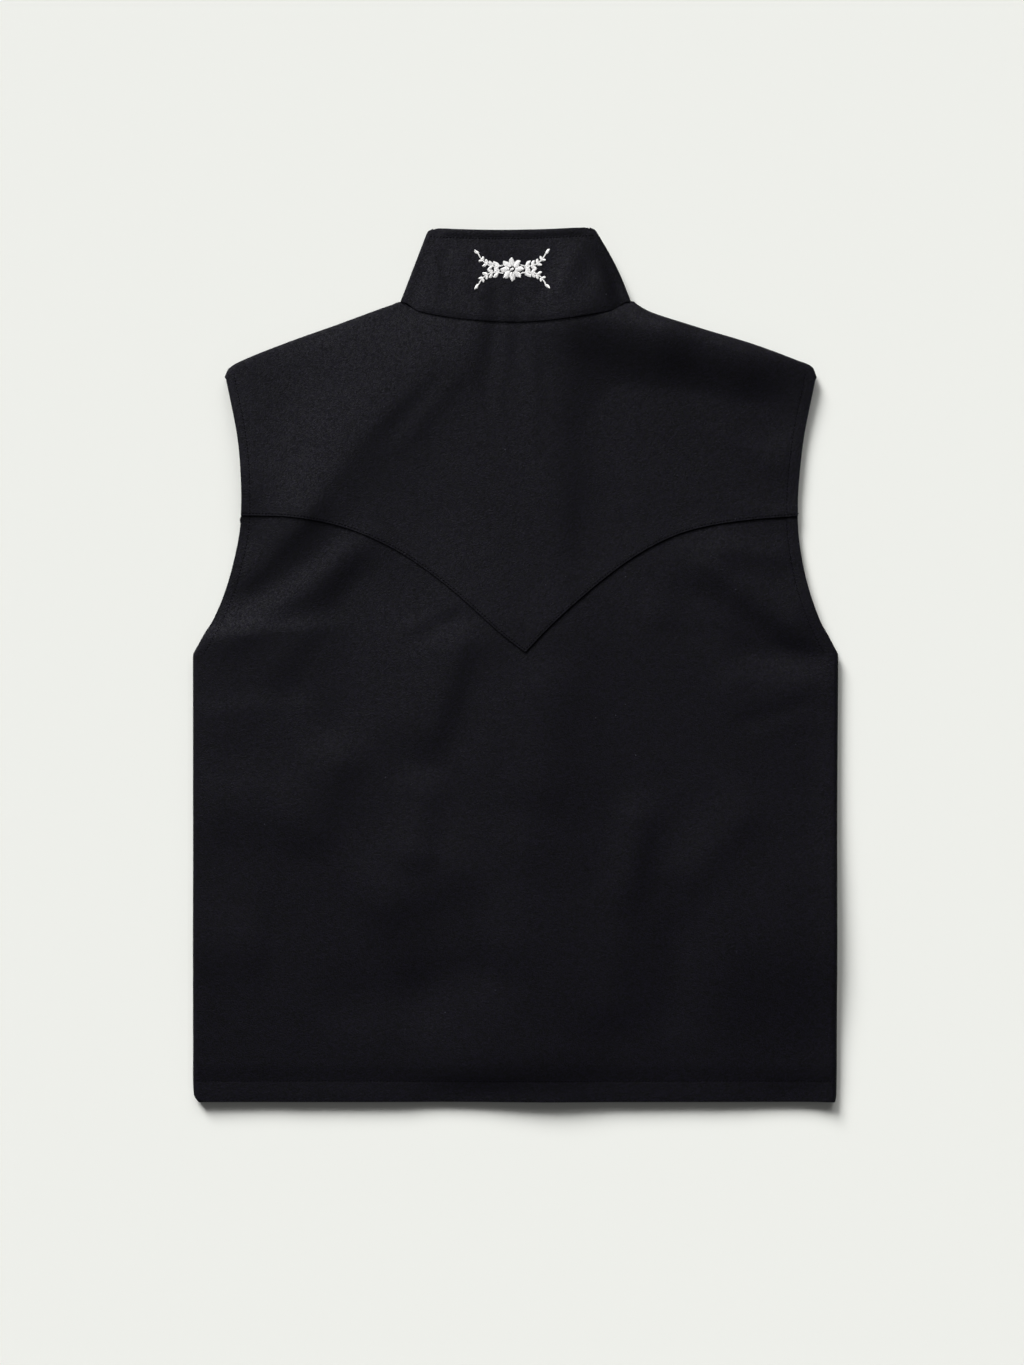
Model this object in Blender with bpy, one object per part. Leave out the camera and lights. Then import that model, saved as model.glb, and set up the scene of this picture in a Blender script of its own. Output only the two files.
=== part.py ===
"""Wool vest laid flat on its front, with a pointed back yoke, lapped fronts, press studs and a stand collar.

+Z is up, +Y runs from the hem to the collar, and the origin lies under the middle of the vest, on the
surface that it rests on. Sizes are in millimetres; MM turns them into Blender's metres.
"""

import math
from collections import namedtuple

import bmesh
import bpy

MM = 0.001

# Cloth
WALL = 2.0             # one ply of felted wool
COLLAR_WALL = 2.8      # two thinner plies, sewn and turned
LAP_GAP = 0.4          # between plies that lie on each other
ROLL_GAP = 0.6         # between the middles of two edges that meet at a seam, 0.3 at their inner corners
BUTT_GAP = 0.4         # between the collar and the fronts

# Length, from the hem to the top of the collar
HEM_Y = -392.0
PIT_Y = 10.0
TIP_Y = 260.0
NECK_Y = 326.0
COLLAR_TOP_Y = 392.0

# Yoke
YOKE_POINT = (9.4, 12.6)
YOKE_END_Y = 135.0
YOKE_POWER = 2.2       # straight at the point, level at the armholes
YOKE_LAP = 10.0        # the back runs on under the yoke
YOKE_RAISE = 2.0
YOKE_RAISE_FAR = 0.5   # well above the seam
YOKE_GAP = 0.6
BODY_DIP = WALL + YOKE_GAP - YOKE_RAISE
SEAM_FADE = 40.0

# Neck and collar
NECK_HALF = 106.0
NECK_DROP_BACK = 17.0
NECK_POWER = 0.8
NECK_LAP = 8.0         # the yoke runs on under the collar
NECK_DROP_FRONT = 86.0
FRONT_NECK_POWER = 1.7
COLLAR_FOOT = (102.6, 329.0)
COLLAR_LEFT_TOP = 77.6
COLLAR_RIGHT_TOP = 70.1
COLLAR_TOP_DIP = 3.5
COLLAR_FRONT_HEIGHT = 75.0
COLLAR_GAP = 0.7       # over the yoke
COLLAR_LEVEL = 0.15    # share of its height before it falls towards its top edge
COLLAR_TOP_Z = 6.2
COLLAR_FOLD_Z = 7.6

# Front lap and press studs
LAP_HALF = 18.0
STUD_RADIUS = 7.5
STUD_HEIGHT = 0.8
STUD_BEVEL = 0.35
STUD_SIDES = 20
STUD_COUNT = 7
STUD_FIRST_Y = -360.0
STUD_LAST_Y = 205.0
COLLAR_STUD_Y = 288.0
LAP_EASE = 20.0        # the fronts rise to the lap over this width

# How the plies lie
BACK_REST = 4.0        # middle of the back's wall
SIDE_RISE = 2.0        # the side folds spring up a little
SIDE_RISE_WIDTH = 16.0
SHOULDER_RISE = 1.9
ARMHOLE_RISE = 1.3
PLACKET_RISE = 3.4
PLACKET_MIDDLE = 6.0
PLACKET_FLAT = 26.0    # to each side of its middle
PLACKET_FADE = 74.0
HEM_DEPTH = 19.0
HEM_RISE = 0.7
FRONT_SCOOP = 12.0     # the front armholes are cut deeper

# Rounded edges at the side and shoulder seams
ROLL = 2.8
ROLL_ANGLES = (90, 75, 45, 0)
PIT_FADE = 24.0

Edge = namedtuple("Edge", "y left right")
SIDE = (
    Edge(HEM_Y, -284.5, 286.6),
    Edge(-386, -288.6, 287.6),
    Edge(-350, -289.3, 287.9),
    Edge(-150, -289.3, 288.2),
    Edge(PIT_Y, -289.3, 289.3),
)
ARMHOLE = (
    Edge(PIT_Y, -289.3, 289.3),
    Edge(45, -269.9, 271.6),
    Edge(88, -254.7, 259.0),
    Edge(YOKE_END_Y, -246.4, 253.8),
    Edge(196, -248.4, 257.9),
    Edge(TIP_Y, -260.4, 269.8),
)

# Share of the way from the shoulder tip to the neck, and of the rise between them
Shoulder = namedtuple("Shoulder", "share left right")
SHOULDER = (
    Shoulder(0.0, 0.0, 0.0),
    Shoulder(0.02, 0.1, 0.12),
    Shoulder(0.1, 0.215, 0.21),
    Shoulder(0.35, 0.455, 0.435),
    Shoulder(0.65, 0.705, 0.66),
    Shoulder(0.9, 0.92, 0.86),
    Shoulder(1.0, 1.0, 1.0),
)

Fold = namedtuple("Fold", "x0 y0 x1 y1 width height")
# Where both layers stand off the surface
LIFTS = {
    "right_shoulder": Fold(150, 302, 262, 264, 42, 3.4),
    "right_armhole": Fold(262, 235, 254, 150, 24, 2.0),
    "left_ridge": Fold(-85, 285, -205, 150, 40, 2.0),
    "left_armhole": Fold(-252, 225, -246, 150, 24, 1.2),
    "right_pit": Fold(272, 36, 258, 90, 22, 0.5),
    "left_pit": Fold(-272, 36, -255, 90, 22, 0.5),
}
# Where the back alone rises or sinks
BACK_FOLDS = {
    "left_drag_upper": Fold(-248, 95, -176, 129, 14, 0.7),
    "left_drag_trough": Fold(-248, 57, -149, 122, 15, -0.5),
    "left_drag_lower": Fold(-234, 23, -137, 111, 16, 1.5),
    "right_drag_upper": Fold(165, 105, 262, 35, 14, 1.1),
    "right_drag_trough": Fold(150, 75, 265, 5, 16, -0.6),
    "right_drag_lower": Fold(190, -15, 282, -10, 15, 0.8),
    "left_shoulder_fall": Fold(-140, 300, -240, 258, 30, -0.8),
    "neck_fold": Fold(29, 300, 40, 95, 22, 0.7),
    "centre_fold": Fold(10, 10, 8, -112, 28, 0.6),
    "collar_front_under": Fold(0, 240, 0, 330, 60, 1.1),
    "left_low_swell": Fold(-150, -130, -70, -260, 42, 0.7),
    "right_low_swell": Fold(90, -150, 190, -230, 38, 0.6),
    "low_trough": Fold(-60, -290, 40, -335, 40, -0.5),
}

WOOL_COLOUR = (0.012, 0.012, 0.014, 1.0)
WOOL_ROUGHNESS = 0.9
STUD_COLOUR = (0.045, 0.045, 0.05, 1.0)
STUD_ROUGHNESS = 0.35


def smooth(t):
    t = max(0.0, min(1.0, t))
    return t * t * (3 - 2 * t)


def mix(a, b, t):
    return a + (b - a) * t


def steps(start, end, count):
    return [mix(start, end, i / count) for i in range(count + 1)]


def curve_through(table, column, at):
    """A smooth curve through a table's rows, read at a value of its first column."""
    keys = [row[0] for row in table]
    values = [getattr(row, column) for row in table]
    at = max(keys[0], min(keys[-1], at))
    i = max(k for k in range(len(keys) - 1) if keys[k] <= at)

    def slope(k):
        a, b = max(k - 1, 0), min(k + 1, len(keys) - 1)
        return (values[b] - values[a]) / (keys[b] - keys[a])

    span = keys[i + 1] - keys[i]
    t = (at - keys[i]) / span
    return (
        (2 * t**3 - 3 * t**2 + 1) * values[i]
        + (t**3 - 2 * t**2 + t) * span * slope(i)
        + (3 * t**2 - 2 * t**3) * values[i + 1]
        + (t**3 - t**2) * span * slope(i + 1)
    )


def outline(side, y):
    """The vest's left or right edge at a height: the side below the armhole, the armhole above."""
    return curve_through(SIDE if y <= PIT_Y else ARMHOLE, side, y)


def yoke_seam(x):
    end = outline("left" if x < YOKE_POINT[0] else "right", YOKE_END_Y)
    share = min(1.0, (x - YOKE_POINT[0]) / (end - YOKE_POINT[0]))
    return mix(YOKE_POINT[1], YOKE_END_Y, 1 - (1 - share) ** YOKE_POWER)


def shoulder_line(x):
    side = "left" if x < 0 else "right"
    tip = abs(outline(side, TIP_Y))
    return mix(TIP_Y, NECK_Y, curve_through(SHOULDER, side, (tip - abs(x)) / (tip - NECK_HALF)))


def back_neck(x):
    """The collar's lower edge on the back."""
    share = min(1.0, abs(x) / NECK_HALF)
    return NECK_Y - NECK_DROP_BACK * (1 - share**2) ** NECK_POWER


def front_fall(share, drop):
    """How far a neckline has fallen on its way from the shoulder to the centre front."""
    return drop * (1 - (1 - min(1.0, share)) ** FRONT_NECK_POWER)


def front_neck(x):
    return NECK_Y - front_fall(1 - abs(x) / NECK_HALF, NECK_DROP_FRONT)


def fold_height(fold, x, y):
    dx, dy = fold.x1 - fold.x0, fold.y1 - fold.y0
    t = ((x - fold.x0) * dx + (y - fold.y0) * dy) / (dx * dx + dy * dy)
    t = max(0.0, min(1.0, t))
    away = math.hypot(x - fold.x0 - t * dx, y - fold.y0 - t * dy)
    return fold.height * math.exp(-((away / fold.width) ** 2))


def lift(x, y):
    return sum(fold_height(fold, x, y) for fold in LIFTS.values())


def left_lap(x):
    """The left front rises over its own press studs."""
    return (STUD_HEIGHT + LAP_GAP) * smooth((x + LAP_HALF + LAP_EASE) / LAP_EASE)


def right_lap(x, wall):
    """The right front rises over the left one."""
    step = STUD_HEIGHT + 2 * LAP_GAP + wall
    return step * smooth((LAP_HALF + 1.4 * LAP_EASE - x) / LAP_EASE)


def front_height(x, y):
    """Middle of a front's wall, away from the lap."""
    return WALL / 2 + lift(x, y)


def back_height(x, y):
    """Middle of the back's wall, before the yoke seam."""
    near_edge = max(0.0, min(x - outline("left", y), outline("right", y) - x))
    armhole = ARMHOLE_RISE * smooth((TIP_Y - y) / (2 * PIT_FADE))
    z = BACK_REST + lift(x, y)
    z += mix(armhole, SIDE_RISE, side_strength(y)) * math.exp(-((near_edge / SIDE_RISE_WIDTH) ** 2))
    z += PLACKET_RISE * smooth((PLACKET_FADE - abs(x - PLACKET_MIDDLE)) / (PLACKET_FADE - PLACKET_FLAT))
    z += HEM_RISE * smooth(1.5 - (y - HEM_Y) / HEM_DEPTH)
    return z + sum(fold_height(fold, x, y) for fold in BACK_FOLDS.values())


def body_height(x, y):
    return back_height(x, y) - BODY_DIP * smooth(1.1 - (yoke_seam(x) - y) / SEAM_FADE)


def yoke_height(x, y):
    far = smooth((y - yoke_seam(x)) / (2 * SEAM_FADE))
    beside = 3 * max(0.0, NECK_HALF - abs(x))
    below = max(0.0, shoulder_line(x) - y) if beside == 0 else abs(NECK_Y - y)
    shoulder = SHOULDER_RISE * math.exp(-((math.hypot(beside, below) / SIDE_RISE_WIDTH) ** 2))
    return back_height(x, y) + mix(YOKE_RAISE, YOKE_RAISE_FAR, far) + shoulder


def roll_in(angle):
    """How far inside the outline a point of a rounded edge lies."""
    return ROLL * (1 - math.sin(math.radians(angle)))


def roll_share(angle):
    return 1 - math.cos(math.radians(angle))


def rolled(z, other, angle, strength):
    """A wall's height on a rounded edge, where it turns towards the other wall and meets it half way."""
    half = (abs(z - other) - ROLL_GAP) / 2
    turn = half * roll_share(angle) * strength
    return z - turn if z > other else z + turn


def side_strength(y):
    return 1 - smooth((y - PIT_Y) / PIT_FADE)


def plain_material(name, colour, roughness, metallic=0.0):
    material = bpy.data.materials.new(name)
    material.use_nodes = True
    shader = material.node_tree.nodes["Principled BSDF"]
    shader.inputs["Base Color"].default_value = colour
    shader.inputs["Roughness"].default_value = roughness
    shader.inputs["Metallic"].default_value = metallic
    return material


def placed(name, mesh, material, vest):
    mesh.materials.append(material)
    obj = bpy.data.objects.new(name, mesh)
    bpy.context.scene.collection.objects.link(obj)
    obj.parent = vest
    return obj


def cloth_panel(name, rows, wall, material, vest):
    """A sheet through rows of points, given its thickness by Solidify."""
    width = len(rows[0])
    points = [(x * MM, y * MM, z * MM) for row in rows for x, y, z in row]
    faces = []
    for r in range(len(rows) - 1):
        for c in range(width - 1):
            corner = r * width + c
            faces.append((corner, corner + 1, corner + width + 1, corner + width))
    mesh = bpy.data.meshes.new(name)
    mesh.from_pydata(points, [], faces)
    mesh.shade_smooth()
    panel = placed(name, mesh, material, vest)
    thickness = panel.modifiers.new("Wall", "SOLIDIFY")
    thickness.thickness = wall * MM
    thickness.offset = 0.0
    return panel


def half_shares(tip):
    """Columns from an edge to the centre line, one of them on the neck point."""
    neck = (abs(tip) - ROLL - NECK_HALF) / (abs(tip) - ROLL)
    return steps(0, neck, 7) + steps(neck, 1, 5)[1:]


LEFT_SHARES = half_shares(ARMHOLE[-1].left)
RIGHT_SHARES = half_shares(ARMHOLE[-1].right)


def back_columns(side_y):
    """The x of each column, and the angle of its rounded edge or None, at the height of a row's ends."""
    left, right = outline("left", side_y), outline("right", side_y)
    centre = mix(YOKE_POINT[0], 0.0, smooth((side_y - YOKE_END_Y) / (TIP_Y - YOKE_END_Y)))
    columns = [(left + roll_in(angle), angle) for angle in ROLL_ANGLES[:-1]]
    columns += [(mix(left + ROLL, centre, share), None) for share in LEFT_SHARES]
    columns += [(mix(right - ROLL, centre, share), None) for share in reversed(RIGHT_SHARES[:-1])]
    columns += [(right - roll_in(angle), angle) for angle in reversed(ROLL_ANGLES[:-1])]
    return columns


def bowed(bottom, end_top, top, share):
    """A row's height in one column: level at the hem, and following the upper seam as it nears it."""
    return mix(bottom, end_top, share) + (top - end_top) * share**2


def back_body(material, vest):
    side_heights = [HEM_Y, HEM_Y + HEM_DEPTH * 0.4, HEM_Y + HEM_DEPTH, HEM_Y + 2 * HEM_DEPTH]
    side_heights += steps(HEM_Y + 3.6 * HEM_DEPTH, PIT_Y, 9)
    side_heights += steps(PIT_Y, YOKE_END_Y, 7)[1:]
    rows = []
    for side_y in side_heights:
        share = (side_y - HEM_Y) / (YOKE_END_Y - HEM_Y)
        row = []
        for (x, angle), (top_x, _) in zip(back_columns(side_y), back_columns(YOKE_END_Y)):
            y = bowed(HEM_Y, YOKE_END_Y, yoke_seam(top_x), share)
            z = body_height(x, y)
            if angle is not None:
                z = rolled(z, front_height(x, y), angle, side_strength(side_y))
            row.append((x, y, z))
        rows.append(row)
    rows.append([(x, y + YOKE_LAP, body_height(x, y + YOKE_LAP)) for x, y, _ in rows[-1]])
    return cloth_panel("back_body", rows, WALL, material, vest)


def yoke_top(x):
    """The yoke's upper edge: the shoulders, and the neck edge under the collar between them."""
    if abs(x) > NECK_HALF:
        return shoulder_line(x)
    return back_neck(x) + NECK_LAP * (1 - (x / NECK_HALF) ** 2)


def on_shoulder(x):
    return abs(x) > NECK_HALF - 1.0


def back_yoke(material, vest):
    tops = [(x, yoke_top(x)) for x, _ in back_columns(TIP_Y)]
    seams = [yoke_seam(x) for x, _ in back_columns(YOKE_END_Y)]
    rows = []
    for share in steps(0, 1, 11):
        side_y = mix(YOKE_END_Y, TIP_Y - ROLL, share)
        row = []
        for (x, _), seam_y, (_, top_y) in zip(back_columns(side_y), seams, tops):
            y = mix(seam_y, top_y - ROLL, share)
            row.append((x, y, yoke_height(x, y)))
        rows.append(row)
    for angle in reversed(ROLL_ANGLES[:-1]):
        row = []
        for x, top_y in tops:
            y = top_y - roll_in(angle)
            z = yoke_height(x, y)
            if on_shoulder(x):
                z = rolled(z, front_height(x, y), angle, 1.0)
            row.append((x, y, z))
        rows.append(row)
    return cloth_panel("back_yoke", rows, WALL, material, vest)


def front_panel(name, side, material, vest):
    """One front, from its side seam to its lap edge; mirror turns the left one's signs for the right."""
    mirror = 1 if side == "left" else -1
    lap_edge = mirror * LAP_HALF
    tip = outline(side, TIP_Y)
    neck_share = (abs(tip) - ROLL - NECK_HALF) / (abs(tip) - ROLL + LAP_HALF)
    shares = steps(0, neck_share, 5) + steps(neck_share, 1, 8)[1:]

    def edge(y):
        scoop = math.sin(math.pi * max(0.0, min(1.0, (y - PIT_Y) / (TIP_Y - PIT_Y))))
        return outline(side, y) + mirror * FRONT_SCOOP * scoop

    def columns(y):
        found = [(edge(y) + mirror * roll_in(angle), angle) for angle in ROLL_ANGLES[:-1]]
        return found + [(mix(edge(y) + mirror * ROLL, lap_edge, share), None) for share in shares]

    def height(x, y):
        return front_height(x, y) + (left_lap(x) if side == "left" else right_lap(x, WALL))

    def top(x):
        return shoulder_line(x) if abs(x) > NECK_HALF else front_neck(x) - BUTT_GAP

    tops = [(x, top(x)) for x, _ in columns(TIP_Y)]
    side_heights = [HEM_Y, HEM_Y + HEM_DEPTH, HEM_Y + 2 * HEM_DEPTH]
    side_heights += steps(HEM_Y + 4 * HEM_DEPTH, PIT_Y, 5)
    side_heights += steps(PIT_Y, TIP_Y - ROLL, 9)[1:]
    rows = []
    for side_y in side_heights:
        share = (side_y - HEM_Y) / (TIP_Y - ROLL - HEM_Y)
        row = []
        for (x, angle), (_, top_y) in zip(columns(side_y), tops):
            y = bowed(HEM_Y, TIP_Y - ROLL, top_y - ROLL, share)
            z = height(x, y)
            if angle is not None:
                z = rolled(z, body_height(x, y), angle, side_strength(side_y))
            row.append((x, y, z))
        rows.append(row)
    for angle in reversed(ROLL_ANGLES[:-1]):
        row = []
        for x, top_y in tops:
            y = top_y - roll_in(angle)
            z = height(x, y)
            if on_shoulder(x):
                z = rolled(z, yoke_height(x, y), angle, 1.0)
            row.append((x, y, z))
        rows.append(row)
    return cloth_panel(name, rows, WALL, material, vest)


def collar_front_ribs(side):
    """Lower and upper ends of the collar's ribs from the centre front to its side fold, on the underside."""
    mirror = 1 if side == "left" else -1
    top_half = COLLAR_LEFT_TOP if side == "left" else COLLAR_RIGHT_TOP
    foot_x, foot_y = COLLAR_FOOT
    ribs = []
    for share in steps(1 + LAP_HALF / foot_x, 0.06, 9):
        low_x = -mirror * foot_x * (1 - share)
        high_x = -mirror * top_half * (1 - share)
        if share > 1:
            high_x = low_x
        fallen = 1 - abs(1 - share)
        low_y = foot_y - front_fall(fallen, NECK_DROP_FRONT)
        drop = COLLAR_TOP_Y - (foot_y - NECK_DROP_FRONT + COLLAR_FRONT_HEIGHT)
        high_y = COLLAR_TOP_Y - front_fall(fallen, drop)
        rib = []
        for x, y in ((low_x, low_y), (high_x, high_y)):
            rise = left_lap(x) if side == "left" else right_lap(x, COLLAR_WALL)
            rib.append((x, y, COLLAR_WALL / 2 + rise))
        ribs.append(rib)
    return ribs


def collar_fold_ribs(side):
    """Ribs round the collar's side fold, from the underside to the back."""
    mirror = 1 if side == "left" else -1
    top_half = COLLAR_LEFT_TOP if side == "left" else COLLAR_RIGHT_TOP
    ends = ((-mirror * COLLAR_FOOT[0], COLLAR_FOOT[1]), (-mirror * top_half, COLLAR_TOP_Y))
    low = COLLAR_WALL / 2
    ribs = []
    for angle in steps(-90, 90, 6):
        turn = math.radians(angle)
        rib = []
        for (x, y), high in zip(ends, (COLLAR_FOLD_Z, COLLAR_TOP_Z)):
            radius = (high - low) / 2
            inward = mirror * radius * (1 - math.cos(turn))
            rib.append((x + inward, y, low + radius * (1 + math.sin(turn))))
        ribs.append(rib)
    return ribs


def collar_back_ribs(left_fold, right_fold):
    """Ribs across the back, between the two side folds."""
    over_yoke = WALL / 2 + COLLAR_GAP + COLLAR_WALL / 2
    ribs = []
    for share in steps(0, 1, 14)[1:-1]:
        bow = 1 - (2 * share - 1) ** 2
        x = mix(left_fold[0][0], right_fold[0][0], share)
        low_y = mix(COLLAR_FOOT[1], back_neck(x), smooth(4 * bow))
        low_z = mix(COLLAR_FOLD_Z, yoke_height(x, low_y) + over_yoke, smooth(3 * bow))
        high_x = mix(left_fold[1][0], right_fold[1][0], share)
        ribs.append([(x, low_y, low_z), (high_x, COLLAR_TOP_Y - COLLAR_TOP_DIP * bow, COLLAR_TOP_Z)])
    return ribs


def collar(material, vest):
    """One band from the left front, round the neck, to the right front."""
    left_fold, right_fold = collar_fold_ribs("left"), collar_fold_ribs("right")
    ribs = collar_front_ribs("left") + left_fold
    ribs += collar_back_ribs(left_fold[-1], right_fold[-1])
    ribs += list(reversed(right_fold)) + list(reversed(collar_front_ribs("right")))
    rows = []
    for up in steps(0, 1, 6):
        row = []
        for (low_x, low_y, low_z), (high_x, high_y, high_z) in ribs:
            z = mix(low_z, high_z, smooth((up - COLLAR_LEVEL) / (1 - COLLAR_LEVEL)))
            row.append((mix(low_x, high_x, up), mix(low_y, high_y, up), z))
        rows.append(row)
    return cloth_panel("collar", rows, COLLAR_WALL, material, vest)


def press_stud(name, y, material, vest):
    """A low cap on the outside of the left front."""
    form = bmesh.new()
    bmesh.ops.create_cone(
        form,
        cap_ends=True,
        segments=STUD_SIDES,
        radius1=STUD_RADIUS * MM,
        radius2=STUD_RADIUS * MM,
        depth=STUD_HEIGHT * MM,
    )
    rim = [edge for edge in form.edges if all(vert.co.z < 0 for vert in edge.verts)]
    bmesh.ops.bevel(form, geom=rim, offset=STUD_BEVEL * MM, segments=1, affect="EDGES")
    mesh = bpy.data.meshes.new(name)
    form.to_mesh(mesh)
    form.free()
    stud = placed(name, mesh, material, vest)
    stud.location = (0.0, y * MM, STUD_HEIGHT / 2 * MM)
    return stud


def build():
    for old in list(bpy.data.objects):
        bpy.data.objects.remove(old, do_unlink=True)
    vest = bpy.data.objects.new("vest", None)
    bpy.context.scene.collection.objects.link(vest)
    for name, make in (("back_body", back_body), ("back_yoke", back_yoke), ("collar", collar)):
        make(plain_material(name + "_wool", WOOL_COLOUR, WOOL_ROUGHNESS), vest)
    for side in ("left", "right"):
        name = "front_" + side
        front_panel(name, side, plain_material(name + "_wool", WOOL_COLOUR, WOOL_ROUGHNESS), vest)
    stud_metal = plain_material("stud_metal", STUD_COLOUR, STUD_ROUGHNESS, 1.0)
    stud_heights = steps(STUD_FIRST_Y, STUD_LAST_Y, STUD_COUNT - 2) + [COLLAR_STUD_Y]
    for number, y in enumerate(stud_heights, 1):
        press_stud(f"press_stud_{number}", y, stud_metal, vest)


build()
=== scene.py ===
import math

import bmesh
import bpy
import numpy as np
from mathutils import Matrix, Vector
from mathutils.bvhtree import BVHTree


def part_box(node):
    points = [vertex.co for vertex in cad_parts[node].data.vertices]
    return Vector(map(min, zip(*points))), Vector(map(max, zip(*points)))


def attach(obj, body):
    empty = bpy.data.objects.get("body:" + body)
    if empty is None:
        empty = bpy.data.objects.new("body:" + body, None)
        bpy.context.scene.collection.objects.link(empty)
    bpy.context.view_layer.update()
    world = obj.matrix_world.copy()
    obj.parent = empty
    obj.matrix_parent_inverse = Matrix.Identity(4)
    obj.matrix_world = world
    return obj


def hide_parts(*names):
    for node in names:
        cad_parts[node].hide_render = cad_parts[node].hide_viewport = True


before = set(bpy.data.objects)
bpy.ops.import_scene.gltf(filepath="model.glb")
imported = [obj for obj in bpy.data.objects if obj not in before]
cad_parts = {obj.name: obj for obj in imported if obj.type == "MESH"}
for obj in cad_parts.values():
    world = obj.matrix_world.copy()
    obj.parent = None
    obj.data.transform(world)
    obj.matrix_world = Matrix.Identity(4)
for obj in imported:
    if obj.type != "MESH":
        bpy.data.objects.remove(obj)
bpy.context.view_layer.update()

mm = 0.001  # sizes below are in millimetres, and meshes in metres

# the cut, in plan: y runs up the vest from its hem to its collar, and x from its left to its right
vestCut = {
    "hemY": -392.0,
    "pitY": 10.0,
    "tipY": 260.0,
    "neckY": 326.0,
    "neckHalf": 106.0,
    "neckDrop": 17.0,
    "neckCurve": 0.8,
    "neckLap": 4.0,
    "frontNeckDrop": 86.0,
    "frontNeckCurve": 1.7,
    "yokePointX": 8.6,
    "yokeEndY": 135.0,
    "yokeLap": 10.0,
    "frontScoop": 12.0,
    "lapHalf": 18.0,
    "hemDepth": 19.0,
}
sideEdge = {
    "y": (-392, -386, -350, -150, 10),
    "left": (-284.5, -288.6, -289.3, -289.3, -289.3),
    "right": (286.6, 287.6, 287.9, 288.2, 289.3),
}
armholeEdge = {
    "y": (10, 45, 88, 135, 196, 260),
    "left": (-289.3, -269.9, -254.7, -246.4, -248.4, -260.4),
    "right": (289.3, 271.6, 259.0, 253.8, 257.9, 269.8),
}
shoulderEdge = {
    "share": (0.0, 0.02, 0.1, 0.35, 0.65, 0.9, 1.0),
    "left": (0.0, 0.1, 0.215, 0.455, 0.705, 0.92, 1.0),
    "right": (0.0, 0.12, 0.21, 0.435, 0.66, 0.86, 1.0),
}

# the two arms of the back yoke's edge, from the armholes to its point
leftArm = {
    "x": (-246.4, -200.0, -156.0, -113.0, -80.6, -48.2, -15.8, 8.6),
    "y": (135.3, 133.3, 125.1, 107.3, 86.6, 60.8, 31.4, 12.2),
}
rightArm = {
    "x": (8.6, 27.4, 49.0, 81.4, 113.8, 146.2, 178.6, 211.0, 253.8),
    "y": (12.2, 32.2, 52.6, 80.1, 102.8, 118.6, 127.0, 131.6, 135.0),
}

# how the plies lie on each other
layOut = {
    "wall": 2.0,
    "creaseScale": 1.25,
    "frontMiddle": 1.0,
    "backMiddle": 4.0,
    "leftRise": 0.4,
    "rightRise": 2.4,
    "sideRiseWidth": 16.0,
    "shoulderRise": 0.2,
    "leftArmholeRise": 0.0,
    "rightArmholeRise": 0.7,
    "lapRise": 2.7,
    "lapMiddle": 6.0,
    "lapFlat": 22.0,
    "lapFade": 92.0,
    "loft": 3.3,
    "loftFade": 120.0,
    "overCollar": 0.5,
    "overCollarHalf": 60.0,
    "overCollarFrom": 175.0,
    "overCollarFade": 80.0,
    "yokeRaise": 1.5,
    "yokeRaiseFar": 0.5,
    "yokeCurl": 0.3,
    "yokeCurlWidth": 13.0,
    "bodyRaise": 0.2,
    "bodyRaiseEnd": 1.1,
    "bodyDive": 1.7,
    "tuckStart": 1.5,
    "tuckWidth": 5.0,
    "tuckSoftness": 0.2,
    "neckDive": 0.7,
    "neckDiveStart": 2.2,
    "neckDiveWidth": 3.2,
    "neckDiveReach": 3.0,
    "neckDiveFade": 10.0,
    "seamFade": 40.0,
    "plyGap": 0.15,
    "studRoom": 0.95,  # a press stud and its clearance
    "lapGap": 0.5,
    "lapEase": 20.0,
    "lapReach": 28.0,
    "frontTaper": 0.3,
    "backTaper": 0.28,
    "roll": 2.8,
    "rollGap": 0.6,
    "pitFade": 24.0,
}
# the back puffs over the hem's stitching, most in the middle, and the hem's strip rises to its edge
hemForm = {
    "drop": 1.0,
    "dropWidth": 15.0,
    "rise": 0.45,
    "riseWidth": 15.0,
    "swell": 3.4,
    "swellX": 8.0,
    "swellHalf": 72.0,
    "swellStart": 4.0,
    "swellGrowth": 42.0,
    "swellEnd": 204.0,
    "swellFade": 120.0,
    "sag": 2.8,
    "sagEnd": 1.2,
    "wave": 0.12,
    "waveLength": 13.0,
    "waveSeed": 6,
    "waveEnd": 1.4,
}
hemTurns = ((-38, 50, 1.0), (250, 45, 0.6))  # where it sags and turns under: x, half width, share of the sag
# the back is a little uneven all over: height, size of a lump, seed
unevenness = ((0.35, 95.0, 11), (0.2, 41.0, 12), (0.07, 15.0, 13))


def smooth(t):
    t = np.clip(t, 0.0, 1.0)
    return t * t * (3 - 2 * t)


def mix(a, b, t):
    return a + (b - a) * t


def bell(distance, width):
    return np.exp(-((distance / width) ** 2))


def arch(share):
    return 1 - (2 * share - 1) ** 2


def curveThrough(table, key, column, at):
    # a smooth curve through the table's points
    keys = np.array(table[key], float)
    values = np.array(table[column], float)
    at = np.clip(np.asarray(at, float), keys[0], keys[-1])
    slopes = np.empty_like(values)
    slopes[1:-1] = (values[2:] - values[:-2]) / (keys[2:] - keys[:-2])
    slopes[0] = (values[1] - values[0]) / (keys[1] - keys[0])
    slopes[-1] = (values[-1] - values[-2]) / (keys[-1] - keys[-2])
    i = np.clip(np.searchsorted(keys, at, side="right") - 1, 0, len(keys) - 2)
    span = keys[i + 1] - keys[i]
    t = (at - keys[i]) / span
    start = (2 * t**3 - 3 * t**2 + 1) * values[i] + (t**3 - 2 * t**2 + t) * span * slopes[i]
    return start + (3 * t**2 - 2 * t**3) * values[i + 1] + (t**3 - t**2) * span * slopes[i + 1]


def edgeX(side, y):
    below = curveThrough(sideEdge, "y", side, y)
    return np.where(np.asarray(y) <= vestCut["pitY"], below, curveThrough(armholeEdge, "y", side, y))


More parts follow.
